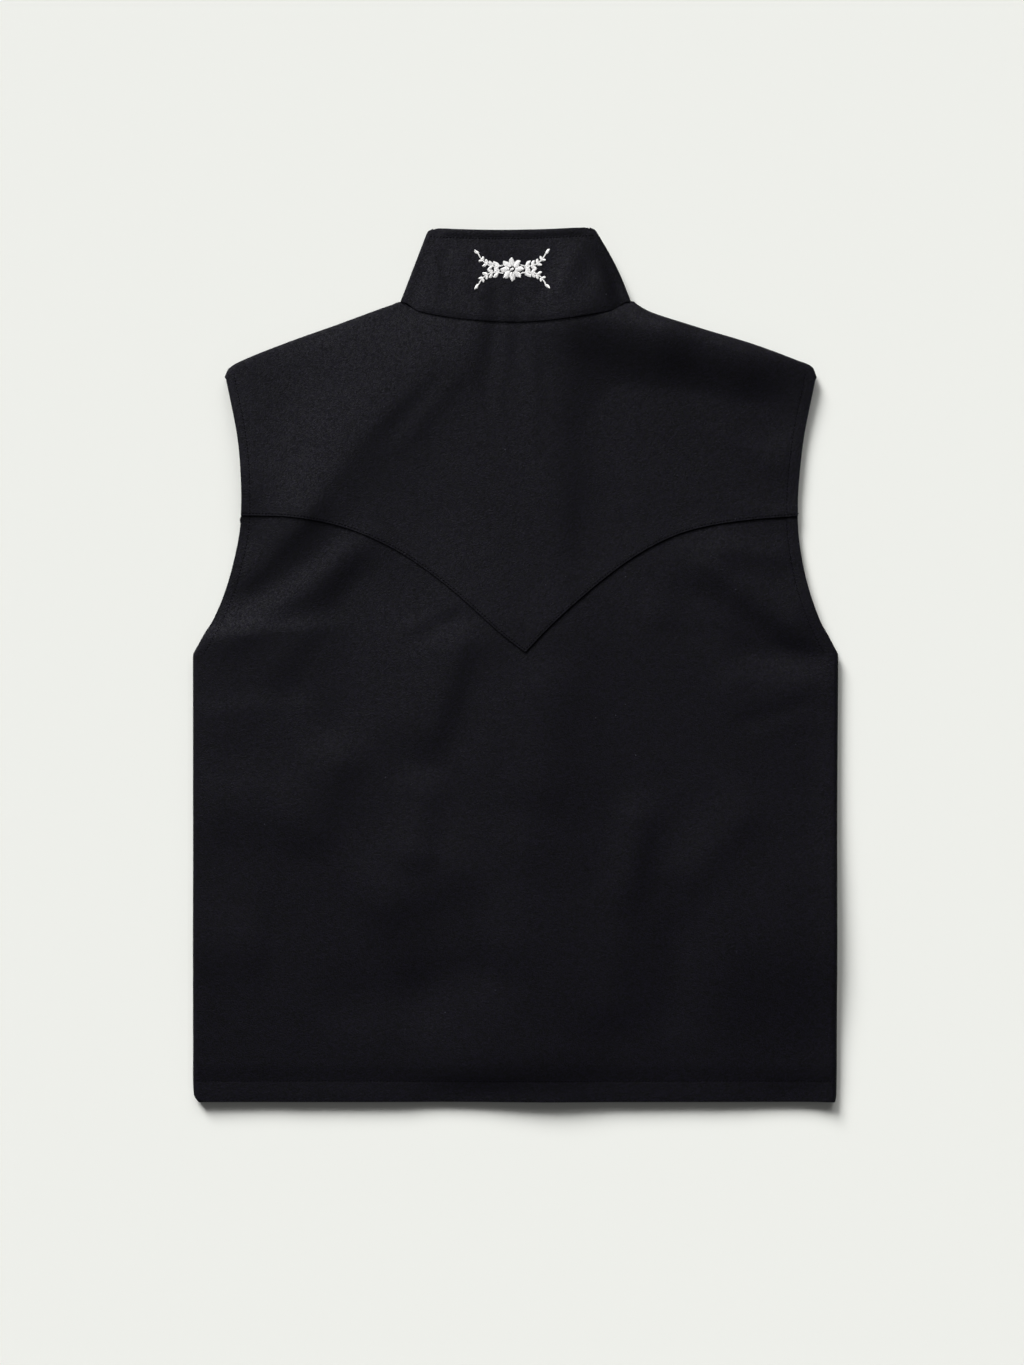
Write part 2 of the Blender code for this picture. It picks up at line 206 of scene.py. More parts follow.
def edgePair(y):
    return float(edgeX("left", y)), float(edgeX("right", y))


def yokeSeam(x):
    left = curveThrough(leftArm, "x", "y", x)
    return np.where(np.asarray(x) < vestCut["yokePointX"], left, curveThrough(rightArm, "x", "y", x))


def shoulderLine(x):
    heights = []
    for side in ("left", "right"):
        tip = abs(float(edgeX(side, vestCut["tipY"])))
        share = (tip - np.abs(x)) / (tip - vestCut["neckHalf"])
        climb = curveThrough(shoulderEdge, "share", side, share)
        heights.append(mix(vestCut["tipY"], vestCut["neckY"], climb))
    return np.where(np.asarray(x) < 0, heights[0], heights[1])


def backNeck(x):
    share = np.clip(np.abs(x) / vestCut["neckHalf"], 0.0, 1.0)
    return vestCut["neckY"] - vestCut["neckDrop"] * (1 - share**2) ** vestCut["neckCurve"]


def frontFall(share, drop):
    return drop * (1 - (1 - np.clip(share, 0.0, 1.0)) ** vestCut["frontNeckCurve"])


def frontNeck(x):
    return vestCut["neckY"] - frontFall(1 - np.abs(x) / vestCut["neckHalf"], vestCut["frontNeckDrop"])


# creases, each from a start to an end with its middle bent to the left of the way;
# ridges are above zero and troughs below, and each side of the line has its own width
creaseColumns = ("startX", "startY", "bend", "endX", "endY", "upperWidth", "lowerWidth", "height")
# both layers stand off the floor here
liftCreases = (
    (150, 302, 0, 262, 264, 38, 38, 2.2),
    (254, 150, 0, 262, 235, 24, 24, 0.6),
    (-205, 150, 0, -85, 285, 40, 40, 2.0),
    (-250, 140, 0, -266, 272, 30, 30, 2.2),
    (258, 90, 0, 272, 36, 22, 22, 0.5),
    (-272, 36, 0, -255, 90, 22, 22, 0.5),
)
# the front panels, against the floor
frontCreases = (
    (-262, -120, 6, -150, -60, 22, 26, 0.8),
    (-210, -300, -5, -120, -190, 20, 28, 0.7),
    (-120, 40, 4, -60, 150, 18, 24, 0.6),
    (90, -250, 5, 150, -120, 26, 20, 0.8),
    (170, -40, -4, 262, -10, 16, 22, 0.7),
    (190, -330, 4, 255, -230, 24, 18, 0.6),
    (70, 120, -5, 140, 190, 20, 16, 0.5),
)
# the back alone, first its shoulders
shoulderCreases = (
    (-262, 330, 0, -252, 120, 34, 34, 3.0),
    (-134, 188, 0, -48, 284, 9, 9, -0.5),
    (-114, 182, 0, -30, 292, 9, 9, 0.6),
    (-20, 330, 7, 284, 254, 16, 32, 7.2),
    (10, 326, 0, 175, 298, 20, 50, 2.9),
    (-216, 290, 0, -184, 160, 26, 28, -1.5),
    (-252, 254, 0, -106, 308, 20, 26, 1.2),
    (40, 246, 6, 270, 218, 34, 50, -2.2),
)
# pulls at the armholes
armholeCreases = (
    (-262, 62, -2, -166, 164, 20, 14, 2.2),
    (-276, 46, -13, -142, 138, 10, 12, -0.7),
    (-296, 10, -14, -112, 138, 16, 16, 2.3),
    (-316, 20, 0, -140, 34, 12, 80, 3.4),
    (-222, -70, -2, -118, 122, 20, 60, -2.4),
    (-304, -48, 3, -160, -40, 13, 36, 1.3),
    (158, 224, -3, 264, 176, 22, 14, 1.4),
    (168, 176, -4, 264, 148, 12, 9, -1.5),
    (168, 108, 0, 258, 97, 12, 10, 1.2),
    (178, 86, 0, 258, 66, 10, 24, -0.6),
    (136, 114, 6, 280, 10, 28, 14, 2.7),
    (126, 76, 6, 270, -10, 15, 34, -2.2),
    (182, 16, 0, 292, 6, 12, 11, -1.3),
    (165, -14, 0, 296, -20, 12, 30, 0.9),
    (105, 46, 0, 215, 40, 24, 11, 0.6),
    (190, -56, 0, 278, -28, 8, 10, -0.6),
)
# folds hanging from the collar, and beside the yoke's point
middleCreases = (
    (36, 70, 0, 26, 312, 26, 20, 0.9),
    (64, 50, 0, 66, 275, 16, 34, -0.8),
    (48, 85, 0, 46, 175, 14, 6, 0.25),
    (-42, 238, 2, -26, 330, 12, 7, 0.5),
    (-28, 216, 2, -14, 330, 7, 8, -0.5),
    (-14, 232, 0, -5, 330, 6, 6, 0.3),
    (0, 262, 0, 2, 330, 5, 6, -0.25),
    (14, 176, -3, 12, 330, 10, 7, 0.5),
    (30, 228, 0, 25, 330, 7, 16, -0.4),
    (-92, -92, -3, -46, 48, 36, 19, 2.6),
    (-62, -92, 0, -26, 30, 14, 26, -0.8),
    (-108, 26, 2, -42, 60, 10, 7, 0.45),
    (-104, 14, 0, -40, 50, 7, 9, -0.45),
    (22, -150, 0, 26, 20, 34, 28, 1.9),
    (0, -290, 3, 6, -120, 30, 26, 1.6),
)
# swells of the lower back
lowerCreases = (
    (-206, -104, 0, -104, -58, 24, 24, 0.8),
    (-190, -180, 4, -148, -56, 26, 22, 2.2),
    (-95, -195, -3, -78, -85, 22, 18, 2.2),
    (-150, -228, 5, -16, -172, 40, 30, 3.0),
    (-120, -300, -5, 0, -262, 24, 40, -2.0),
    (-300, -130, 4, -170, -128, 40, 30, 2.2),
    (-300, -262, 3, -215, -250, 40, 30, 2.1),
    (88, -235, -3, 118, -105, 20, 18, 2.4),
    (90, -340, 4, 98, -200, 26, 20, 1.7),
    (142, -345, 4, 150, -210, 18, 20, -1.4),
    (138, -214, 4, 226, -112, 24, 22, 1.9),
    (140, -268, 6, 350, -246, 100, 60, 5.0),
    (-190, -305, 4, -50, -300, 30, 26, -1.3),
)
# the left shoulder: a crisp ridge from the armhole to the neck, and a plane that falls from it
# to the shoulder's edge
shoulderRidge = {
    "x": (-256, -238, -217, -200, -185, -160, -120, -80, -58, -42, -34),
    "y": (66, 83, 101, 120, 140, 178, 225, 257, 276, 298, 318),
    "height": 5.0,
    "round": 5.0,
    "shadeWidth": 42.0,
    "bow": 0.4,
    "fade": 0.4,
    "neckFade": 0.4,
    "neckStart": 0.65,
    "lowStart": (-260.0, 266.0),
    "lowEnd": (-40.0, 360.0),
}


def creaseLine(row, points=7):
    crease = dict(zip(creaseColumns, row))
    start = np.array((crease["startX"], crease["startY"]), float)
    end = np.array((crease["endX"], crease["endY"]), float)
    run = end - start
    sideways = np.array((-run[1], run[0])) / np.hypot(*run)
    t = np.linspace(0, 1, points)[:, None]
    return start + run * t + sideways * crease["bend"] * arch(t)


def alongAndAway(line, x, y):
    # share of the way along a line of points, and the distance from it, above zero on its left
    away = np.full(np.shape(x), 1e9)
    along = np.zeros(np.shape(x))
    for k in range(len(line) - 1):
        (ax, ay), (bx, by) = line[k], line[k + 1]
        dx, dy = bx - ax, by - ay
        t = np.clip(((x - ax) * dx + (y - ay) * dy) / (dx * dx + dy * dy), 0.0, 1.0)
        d = np.hypot(x - ax - t * dx, y - ay - t * dy)
        nearer = d < np.abs(away)
        away = np.where(nearer, np.where(dx * (y - ay) < dy * (x - ax), -d, d), away)
        along = np.where(nearer, (k + t) / (len(line) - 1), along)
    return along, away


def distanceFrom(line, x, y):
    return np.abs(alongAndAway(line, x, y)[1])


def creaseHeight(rows, x, y, taper=0.0):
    total = np.zeros(np.shape(x))
    for row in rows:
        crease = dict(zip(creaseColumns, row))
        along, away = alongAndAway(creaseLine(row), x, y)
        width = np.where(away > 0, crease["upperWidth"], crease["lowerWidth"])
        ends = smooth(np.minimum(along, 1 - along) / taper) if taper else 1.0
        total = total + crease["height"] * bell(away, width) * ends
    return total


def shoulderPlane(x, y):
    ridge = shoulderRidge
    along, away = alongAndAway(np.stack((ridge["x"], ridge["y"]), axis=1), x, y)
    fromRidge = np.hypot(away, ridge["round"]) - ridge["round"]
    toEdge = np.maximum(1.0, distanceFrom((ridge["lowStart"], ridge["lowEnd"]), x, y))
    share = fromRidge / (fromRidge + toEdge)
    lit = 1 - (1 - ridge["bow"]) * share - ridge["bow"] * share**2
    shade = np.exp(-fromRidge / ridge["shadeWidth"])
    atNeck = smooth((along - ridge["neckStart"]) / (1 - ridge["neckStart"]))
    strength = smooth(along / ridge["fade"]) * (1 - ridge["neckFade"] * atNeck)
    return layOut["creaseScale"] * ridge["height"] * strength * np.where(away > 0, lit, shade)


def softNoise(x, y, size, seed):
    # gentle unevenness from minus one to one, with lumps of about the given size
    lattice = np.random.default_rng(seed).uniform(-1, 1, (128, 128))
    gx, gy = np.asarray(x) / size + 256.5, np.asarray(y) / size + 256.5
    ix, iy = np.floor(gx).astype(int), np.floor(gy).astype(int)
    fx, fy = smooth(gx - ix), smooth(gy - iy)
    low = mix(lattice[ix % 128, iy % 128], lattice[(ix + 1) % 128, iy % 128], fx)
    high = mix(lattice[ix % 128, (iy + 1) % 128], lattice[(ix + 1) % 128, (iy + 1) % 128], fx)
    return mix(low, high, fy)


# lines of topstitching, drawn on the plan of the vest
topstitch = {
    "leftIn": 7.8,
    "rightIn": 10.0,
    "yokeIn": 1.9,
    "collarIn": 7.4,
    "lapIn": 7.0,
    "endGap": 2.0,
    "neckGap": 6.0,
    "rightHemFrom": 40.0,
    "slant": 0.3,
    "jitter": 0.07,
    "sink": -0.05,  # stitches sit a little way into the nap
    "frontSink": -0.25,  # and further under the fronts, clear of the floor
    "pitch": 2.9,
    "length": 2.0,
    "thickness": 0.9,
    "groove": 0.14,
    "frontGroove": 0.42,
    "grooveWidth": 1.7,
}
# puckers along the seams: length of the seam, size of a pucker, its reach, its height, seed
puckers = {
    "armhole": (260.0, 9.0, 9.0, 0.1, 3),
    "body": (620.0, 10.0, 11.0, 0.3, 5),
    "yoke": (620.0, 10.0, 13.0, 0.22, 7),
}


def movedIn(line, distance):
    # a line moved to its left by a distance
    step = np.gradient(line, axis=0)
    step /= np.linalg.norm(step, axis=1)[:, None]
    return line + np.stack((-step[:, 1], step[:, 0]), axis=1) * distance


def armholeLine(side, inset):
    y = np.linspace(vestCut["pitY"], vestCut["tipY"], 90)
    line = np.stack((edgeX(side, y), y), axis=1)
    moved = movedIn(line, -inset if side == "left" else inset)
    return moved[moved[:, 1] > vestCut["pitY"] + 1.0]


def yokeLine(inset):
    # both arms of the seam, meeting above the point
    pointX = vestCut["yokePointX"]
    left, right = edgePair(vestCut["yokeEndY"])
    arms = []
    for start, end in ((left, pointX), (pointX, right)):
        x = np.linspace(start, end, 120)
        arm = movedIn(np.stack((x, yokeSeam(x)), axis=1), inset)
        arms.append(arm[arm[:, 0] <= pointX] if end == pointX else arm[arm[:, 0] >= pointX])
    return np.concatenate(arms)


def hemLine(inset):
    y = vestCut["hemY"] + inset
    left, right = edgePair(y)
    x = np.linspace(left + topstitch["endGap"], right - topstitch["endGap"], 200)
    return np.stack((x, np.full_like(x, y)), axis=1)


def lapStitchLine(side):
    mirror = 1.0 if side == "left" else -1.0
    x = mirror * (vestCut["lapHalf"] - topstitch["lapIn"])
    y = np.linspace(vestCut["hemY"] + topstitch["endGap"], float(frontNeck(x)) - topstitch["neckGap"], 160)
    return np.stack((np.full_like(y, x), y), axis=1)


def groove(line, x, y, depth):
    return -depth * bell(distanceFrom(line, x, y), topstitch["grooveWidth"])


def pucker(seam, line, x, y):
    length, size, reach, height, seed = puckers[seam]
    along, away = alongAndAway(line, x, y)
    return height * softNoise(along * length, 0 * along, size, seed) * np.exp(-np.abs(away) / reach)


def thinned(line, step):
    return np.concatenate((line[:-1:step], line[-1:]))


leftArmholeStitch = armholeLine("left", topstitch["leftIn"])
rightArmholeStitch = armholeLine("right", topstitch["rightIn"])
yokeEdge = thinned(yokeLine(0.0), 5)
yokeStitch = yokeLine(topstitch["yokeIn"])
hemStitch = hemLine(vestCut["hemDepth"])


def armholeTrim(x, y):
    z = np.zeros(np.shape(x))
    for stitch in (leftArmholeStitch, rightArmholeStitch):
        line = thinned(stitch, 4)
        z = z + groove(line, x, y, topstitch["groove"]) + pucker("armhole", line, x, y)
    return z


def liftHeight(x, y):
    return creaseHeight(liftCreases, x, y)


def frontHeight(x, y):
    return layOut["frontMiddle"] + liftHeight(x, y) + creaseHeight(frontCreases, x, y, layOut["frontTaper"])


def lapHeight(side, x, wall):
    # the left front rises over the press studs, and the right front over the left one
    ease = layOut["lapEase"]
    if side == "left":
        return layOut["studRoom"] * smooth((x + vestCut["lapHalf"] + ease) / ease)
    reach = vestCut["lapHalf"] + layOut["lapReach"]
    return (layOut["studRoom"] + layOut["lapGap"] + wall) * smooth((reach - x) / ease)


def onFronts(x, y):
    # the lowest that a panel's middle can lie on the two fronts
    overRight = np.asarray(x) > -vestCut["lapHalf"]
    lap = np.where(overRight, lapHeight("right", x, layOut["wall"]), lapHeight("left", x, 0.0))
    return frontHeight(x, y) + lap + layOut["wall"] + layOut["plyGap"]


def keptAbove(z, under, softness=0.5):
    # never sinks through what it lies on
    d = z - under
    return under + (d + np.sqrt(d * d + softness * softness)) / 2


def sideStrength(y):
    return 1 - smooth((y - vestCut["pitY"]) / layOut["pitFade"])


def hemShape(x, fromHem):
    form, depth = hemForm, vestCut["hemDepth"]
    drop = form["drop"] * (1 - smooth((fromHem - depth) / form["dropWidth"]))
    rise = form["rise"] * smooth((depth - fromHem) / form["riseWidth"])
    swell = form["swell"] * bell(x - form["swellX"], form["swellHalf"])
    swell = swell * smooth((form["swellEnd"] - fromHem) / form["swellFade"])
    swell = swell * smooth((fromHem - form["swellStart"]) / form["swellGrowth"])
    turned = sum(share * bell(x - at, half) for at, half, share in hemTurns)
    sag = form["sag"] * turned * smooth(form["sagEnd"] - fromHem / (form["sagEnd"] * depth))
    return swell - drop + rise - sag


def backHeight(x, y):
    pit = smooth((vestCut["tipY"] - y) / (2 * layOut["pitFade"]))
    z = layOut["backMiddle"] + liftHeight(x, y)
    for side, way in (("left", 1), ("right", -1)):
        fromEdge = np.maximum(0.0, way * (x - edgeX(side, y)))
        rise = mix(layOut[side + "ArmholeRise"] * pit, layOut[side + "Rise"], sideStrength(y))
        z = z + rise * bell(fromEdge, layOut["sideRiseWidth"])
    pastLap = (layOut["lapFade"] - np.abs(x - layOut["lapMiddle"])) / (layOut["lapFade"] - layOut["lapFlat"])
    z = z + layOut["lapRise"] * smooth(pastLap)
    z = z + hemShape(x, y - vestCut["hemY"])
    z = z + layOut["loft"] * smooth((vestCut["yokeEndY"] - y) / layOut["loftFade"])
    overCollar = layOut["overCollar"] * bell(np.asarray(x), layOut["overCollarHalf"])
    z = z + overCollar * smooth((y - layOut["overCollarFrom"]) / layOut["overCollarFade"])
    for creases in (shoulderCreases, armholeCreases, middleCreases, lowerCreases):
        z = z + layOut["creaseScale"] * creaseHeight(creases, x, y, layOut["backTaper"])
    z = z + shoulderPlane(x, y)
    for height, size, seed in unevenness:
        z = z + height * softNoise(x, y, size, seed)
    return keptAbove(z, onFronts(x, y)) + armholeTrim(x, y)


def bodyHeight(x, y):
    pastSeam, fromHem = y - yokeSeam(x), y - vestCut["hemY"]
    z = backHeight(x, y)
    z = z + layOut["bodyRaise"] * smooth(layOut["bodyRaiseEnd"] + pastSeam / layOut["seamFade"])
    tucked = smooth((pastSeam + layOut["tuckStart"]) / layOut["tuckWidth"])  # under the yoke
    z = z - layOut["bodyDive"] * tucked
    z = mix(z, keptAbove(z, onFronts(x, y), layOut["tuckSoftness"]), tucked)
    z = z + pucker("body", yokeEdge, x, y) + groove(hemStitch[[0, -1]], x, y, topstitch["groove"])
    wave = hemForm["wave"] * softNoise(x, 0 * x, hemForm["waveLength"], hemForm["waveSeed"])
    return z + wave * smooth(hemForm["waveEnd"] - fromHem / vestCut["hemDepth"])


def yokeHeight(x, y):
    far = smooth((y - yokeSeam(x)) / (2 * layOut["seamFade"]))
    beside = 3 * np.maximum(0.0, vestCut["neckHalf"] - np.abs(x))  # the rise ends quickly past the neck point
    below = np.where(beside == 0, np.maximum(0.0, shoulderLine(x) - y), np.abs(vestCut["neckY"] - y))
    z = backHeight(x, y) + mix(layOut["yokeRaise"], layOut["yokeRaiseFar"], far)
    z = z + layOut["shoulderRise"] * bell(np.hypot(beside, below), layOut["sideRiseWidth"])
    atNeck = smooth((vestCut["neckHalf"] + layOut["neckDiveReach"] - np.abs(x)) / layOut["neckDiveFade"])
    past = y - backNeck(x) + layOut["neckDiveStart"]
    z = z - layOut["neckDive"] * smooth(past / layOut["neckDiveWidth"]) * atNeck
    curl = layOut["yokeCurl"] * np.exp(-distanceFrom(yokeEdge, x, y) / layOut["yokeCurlWidth"])
    return z + curl + pucker("yoke", yokeEdge, x, y)


def rolledHeight(z, other, turn, strength):
    # at a side or shoulder seam a wall turns towards the other and meets it half way
    half = (np.abs(z - other) - layOut["rollGap"]) / 2
    return z + np.sign(other - z) * half * (1 - np.cos(turn)) * strength


rollTurns = np.radians((90, 82, 70, 55, 40, 22))  # from the seam up to the flat of the panel
rollInsets = layOut["roll"] * (1 - np.sin(rollTurns))
edgeInsets = np.array((2.8, 3.8, 4.8, 5.8, 6.8, 7.6, 8.4, 9.2, 10.2, 11.6, 13.4, 15.6, 18.0))


def panelColumns(left, right, spacing, widest):
    # x across a row, closer at its two edges, and the turn of each column's rounded edge
    count = int(round((widest - 2 * edgeInsets[-1]) / spacing))
    inner = left + edgeInsets[-1] + (right - left - 2 * edgeInsets[-1]) * np.linspace(0, 1, count + 1)[1:-1]
    fromEdge = np.concatenate((rollInsets, edgeInsets))
    x = np.concatenate((left + fromEdge, inner, (right - fromEdge)[::-1]))
    flat = np.zeros(2 * len(edgeInsets) + len(inner))
    return x, np.concatenate((rollTurns, flat, rollTurns[::-1]))


def setSockets(node, values):
    for socket, value in values.items():
        node.inputs[socket].default_value = value


def addNode(tree, kind, settings=None, values=None, links=None):
    node = tree.nodes.new(kind)
    for name, value in (settings or {}).items():
        setattr(node, name, value)
    setSockets(node, values or {})
    for socket, source in (links or {}).items():
        tree.links.new(source, node.inputs[socket])
    return node


def hexColour(text):
    parts = [int(text[i : i + 2], 16) / 255 for i in (1, 3, 5)]
    linear = [p / 12.92 if p <= 0.04045 else ((p + 0.055) / 1.055) ** 2.4 for p in parts]
    return (*linear, 1.0)


def newMaterial(name):
    material = bpy.data.materials.new(name)
    material.use_nodes = True
    tree = material.node_tree
    return material, tree, tree.nodes["Principled BSDF"]


woolLook = {
    "dark": "#010102",
    "darkAt": 0.3,
    "light": "#0a0813",
    "lightAt": 0.78,
    "tuftSize": 1.35,
    "tuftShare": 0.58,
    "napSize": 1.4,
    "napRoughness": 0.7,
    "blotchSize": 60.0,
    "blotchShare": 0.12,
    "blotchRoughness": 0.55,
    "noiseDetail": 3.0,
    "lint": "#3a3a42",
    "lintSpacing": 9.0,
    "lintSize": 0.05,
    "lintRarity": 0.95,
    "bump": 0.9,
    "bumpDepth": 0.75,
    "roughest": 0.84,
    "smoothest": 0.56,
    "gloss": 0.092,
    "sheen": 0.01,
    "sheenRoughness": 0.5,
    "sheenTint": "#a9a9b8",
}


def feltedWool():
    # melton wool, woven, fulled and brushed: a matt felted face of short tufts, each a little paler, darker
    # or glossier than the next, with a few pale fibres; the tufts are drawn about twice as coarse as they
    # are, to show
    look = woolLook
    material, tree, shader = newMaterial("feltedWool")
    place = {"Vector": addNode(tree, "ShaderNodeTexCoord").outputs["Object"]}
    tufts = addNode(tree, "ShaderNodeTexVoronoi", values={"Scale": 1000 / look["tuftSize"]}, links=place)
    tuft = addNode(tree, "ShaderNodeSeparateColor", links={"Color": tufts.outputs["Color"]})
    noises = {}
    for name in ("nap", "blotch"):
        noises[name] = addNode(tree, "ShaderNodeTexNoise", links=place, values={
            "Scale": 1000 / look[name + "Size"],
            "Detail": look["noiseDetail"],
            "Roughness": look[name + "Roughness"],
        }).outputs["Fac"]
    grain = addNode(
        tree, "ShaderNodeMix", {"data_type": "FLOAT"}, {"Factor": look["tuftShare"]},
        {"A": noises["nap"], "B": tuft.outputs["Red"]},
    )
    heather = addNode(
        tree, "ShaderNodeMix", {"data_type": "FLOAT"}, {"Factor": look["blotchShare"]},
        {"A": grain.outputs["Result"], "B": noises["blotch"]},
    )
    tone = addNode(tree, "ShaderNodeValToRGB", links={"Fac": heather.outputs["Result"]})
    for k, name in enumerate(("dark", "light")):
        tone.color_ramp.elements[k].position = look[name + "At"]
        tone.color_ramp.elements[k].color = hexColour(look[name])
    cells = addNode(tree, "ShaderNodeTexVoronoi", values={"Scale": 1000 / look["lintSpacing"]}, links=place)
    pick = addNode(tree, "ShaderNodeSeparateColor", links={"Color": cells.outputs["Color"]})
    fleck = addNode(
        tree, "ShaderNodeMath", {"operation": "LESS_THAN"}, {1: look["lintSize"]},
        {0: cells.outputs["Distance"]},
    )
    rare = addNode(
        tree, "ShaderNodeMath", {"operation": "GREATER_THAN"}, {1: look["lintRarity"]},
        {0: pick.outputs["Red"]},
    )
    lint = addNode(
        tree, "ShaderNodeMath", {"operation": "MULTIPLY"}, links={0: fleck.outputs[0], 1: rare.outputs[0]}
    )
    colour = addNode(
        tree, "ShaderNodeMix", {"data_type": "RGBA"}, {"B": hexColour(look["lint"])},
        {"Factor": lint.outputs[0], "A": tone.outputs["Color"]},
    )
    bump = addNode(
        tree, "ShaderNodeBump", values={"Strength": look["bump"], "Distance": look["bumpDepth"] * mm},
        links={"Height": noises["nap"]},
    )
    gloss = addNode(
        tree, "ShaderNodeMapRange", values={"To Min": look["roughest"], "To Max": look["smoothest"]},
        links={"Value": tuft.outputs["Green"]},
    )
    tree.links.new(colour.outputs["Result"], shader.inputs["Base Color"])
    tree.links.new(bump.outputs["Normal"], shader.inputs["Normal"])
    tree.links.new(gloss.outputs["Result"], shader.inputs["Roughness"])
    setSockets(shader, {
        "Specular IOR Level": look["gloss"],
        "Sheen Weight": look["sheen"],
        "Sheen Roughness": look["sheenRoughness"],
        "Sheen Tint": hexColour(look["sheenTint"]),
    })
    return material


threadLooks = {
    "blackPolyesterThread": {"colour": "#060508", "roughness": 0.75, "ply": 0.5, "gloss": 0.02},
    "whiteRayonThread": {"colour": "#fbfaf8", "roughness": 0.42, "ply": 0.4, "gloss": 0.25},
}
# shade: the share of the thread's colour left in the ribbing's grooves, which is painted shade
twistLook = {"slant": 35, "spread": 6.283, "wobble": 0.6, "shade": 0.8, "bump": 0.4, "bumpDepth": 0.1}


def twistedThread(name):
    # sewing thread, plies twisted together: a fine slanting ribbing, bumped and also painted darker in its
    # grooves as painted shade, and a soft gloss along its length
    look = threadLooks[name]
    material, tree, shader = newMaterial(name)
    place = addNode(tree, "ShaderNodeTexCoord").outputs["Object"]
    slant = (0, 0, math.radians(twistLook["slant"]))
    turned = addNode(tree, "ShaderNodeMapping", values={"Rotation": slant}, links={"Vector": place})
    ribs = {"Scale": 1000 / look["ply"] / twistLook["spread"], "Distortion": twistLook["wobble"]}
    twist = addNode(tree, "ShaderNodeTexWave", values=ribs, links={"Vector": turned.outputs["Vector"]})
    # the grooves between the plies are painted darker, as painted shade on top of the bump
    shade = addNode(tree, "ShaderNodeValToRGB", links={"Fac": twist.outputs["Fac"]})
    colour = hexColour(look["colour"])
    shade.color_ramp.elements[0].color = [c * twistLook["shade"] for c in colour[:3]] + [1.0]
    shade.color_ramp.elements[1].color = colour
    relief = {"Strength": twistLook["bump"], "Distance": twistLook["bumpDepth"] * mm}
    bump = addNode(tree, "ShaderNodeBump", values=relief, links={"Height": twist.outputs["Fac"]})
    tree.links.new(shade.outputs["Color"], shader.inputs["Base Color"])
    tree.links.new(bump.outputs["Normal"], shader.inputs["Normal"])
    setSockets(shader, {"Roughness": look["roughness"], "Specular IOR Level": look["gloss"]})
    return material


brassLook = {"dark": "#1d1c1c", "worn": "#4a4642", "wearScale": 900.0, "wearDetail": 4.0, "roughness": 0.36}


def blackenedBrass():
    # press stud caps, pressed from brass and blackened: dark, satin, worn a little paler in fine scratches
    material, tree, shader = newMaterial("blackenedBrass")
    place = addNode(tree, "ShaderNodeTexCoord").outputs["Object"]
    scratches = {"Scale": brassLook["wearScale"], "Detail": brassLook["wearDetail"]}
    wear = addNode(tree, "ShaderNodeTexNoise", values=scratches, links={"Vector": place})
    tone = addNode(tree, "ShaderNodeValToRGB", links={"Fac": wear.outputs["Fac"]})
    for k, name in enumerate(("dark", "worn")):
        tone.color_ramp.elements[k].color = hexColour(brassLook[name])
    tree.links.new(tone.outputs["Color"], shader.inputs["Base Color"])
    setSockets(shader, {"Metallic": 1.0, "Roughness": brassLook["roughness"]})
    return material


wool = feltedWool()
blackThread = twistedThread("blackPolyesterThread")
whiteThread = twistedThread("whiteRayonThread")
studMetal = blackenedBrass()
print("materials ready")


def newObject(name, data):
    made = bpy.data.objects.new(name, data)
    bpy.context.scene.collection.objects.link(made)
    return made


clothEdge = {"segments": 2, "sharpest": 55}


def clothPiece(name, x, y, z, wall, rim):
    # a sheet through a grid of points, thickened on both sides, with its cut or turned edges rounded
    rows, columns = x.shape
    points = np.stack((x, y, z), axis=-1).reshape(-1, 3) * mm
    corner = (np.arange(rows - 1)[:, None] * columns + np.arange(columns - 1)[None, :]).reshape(-1)
    faces = np.stack((corner, corner + 1, corner + columns + 1, corner + columns), axis=1)
    mesh = bpy.data.meshes.new(name)
    mesh.from_pydata(points.tolist(), [], faces.tolist())
    mesh.shade_smooth()
    mesh.materials.append(wool)
    piece = newObject(name, mesh)
    thickness = piece.modifiers.new("clothWall", "SOLIDIFY")
    thickness.thickness = wall * mm
    thickness.offset = 0.0
    rounding = piece.modifiers.new("roundedEdge", "BEVEL")
    rounding.width = rim * mm
    rounding.segments = clothEdge["segments"]
    rounding.limit_method = "ANGLE"
    rounding.angle_limit = math.radians(clothEdge["sharpest"])
    return piece


def bowedRows(bottom, endTop, top, shares):
    # rows level at the hem that come to follow the upper seam
    shares = np.asarray(shares)[:, None]
    return mix(bottom, endTop, shares) + (np.asarray(top)[None, :] - endTop) * shares**2


# rows lie closer at the hem, at the yoke's seam and where the panel is tucked under the yoke
bodySize = {
    "spacing": 2.9,
    "rowSpacing": 3.6,
    "rim": 0.75,
    "hemRows": (0, 0.8, 2, 4, 6.5, 9.5, 12.5, 15, 16.6, 17.8, 19, 20.2, 21.4, 23, 25.5),
    "seamRows": (16.0, 13.0, 10.0, 7.5, 5.5, 4.0, 2.6, 1.3, 0.0),
    "tuckRows": (2.5, 5.0, 7.5),
}


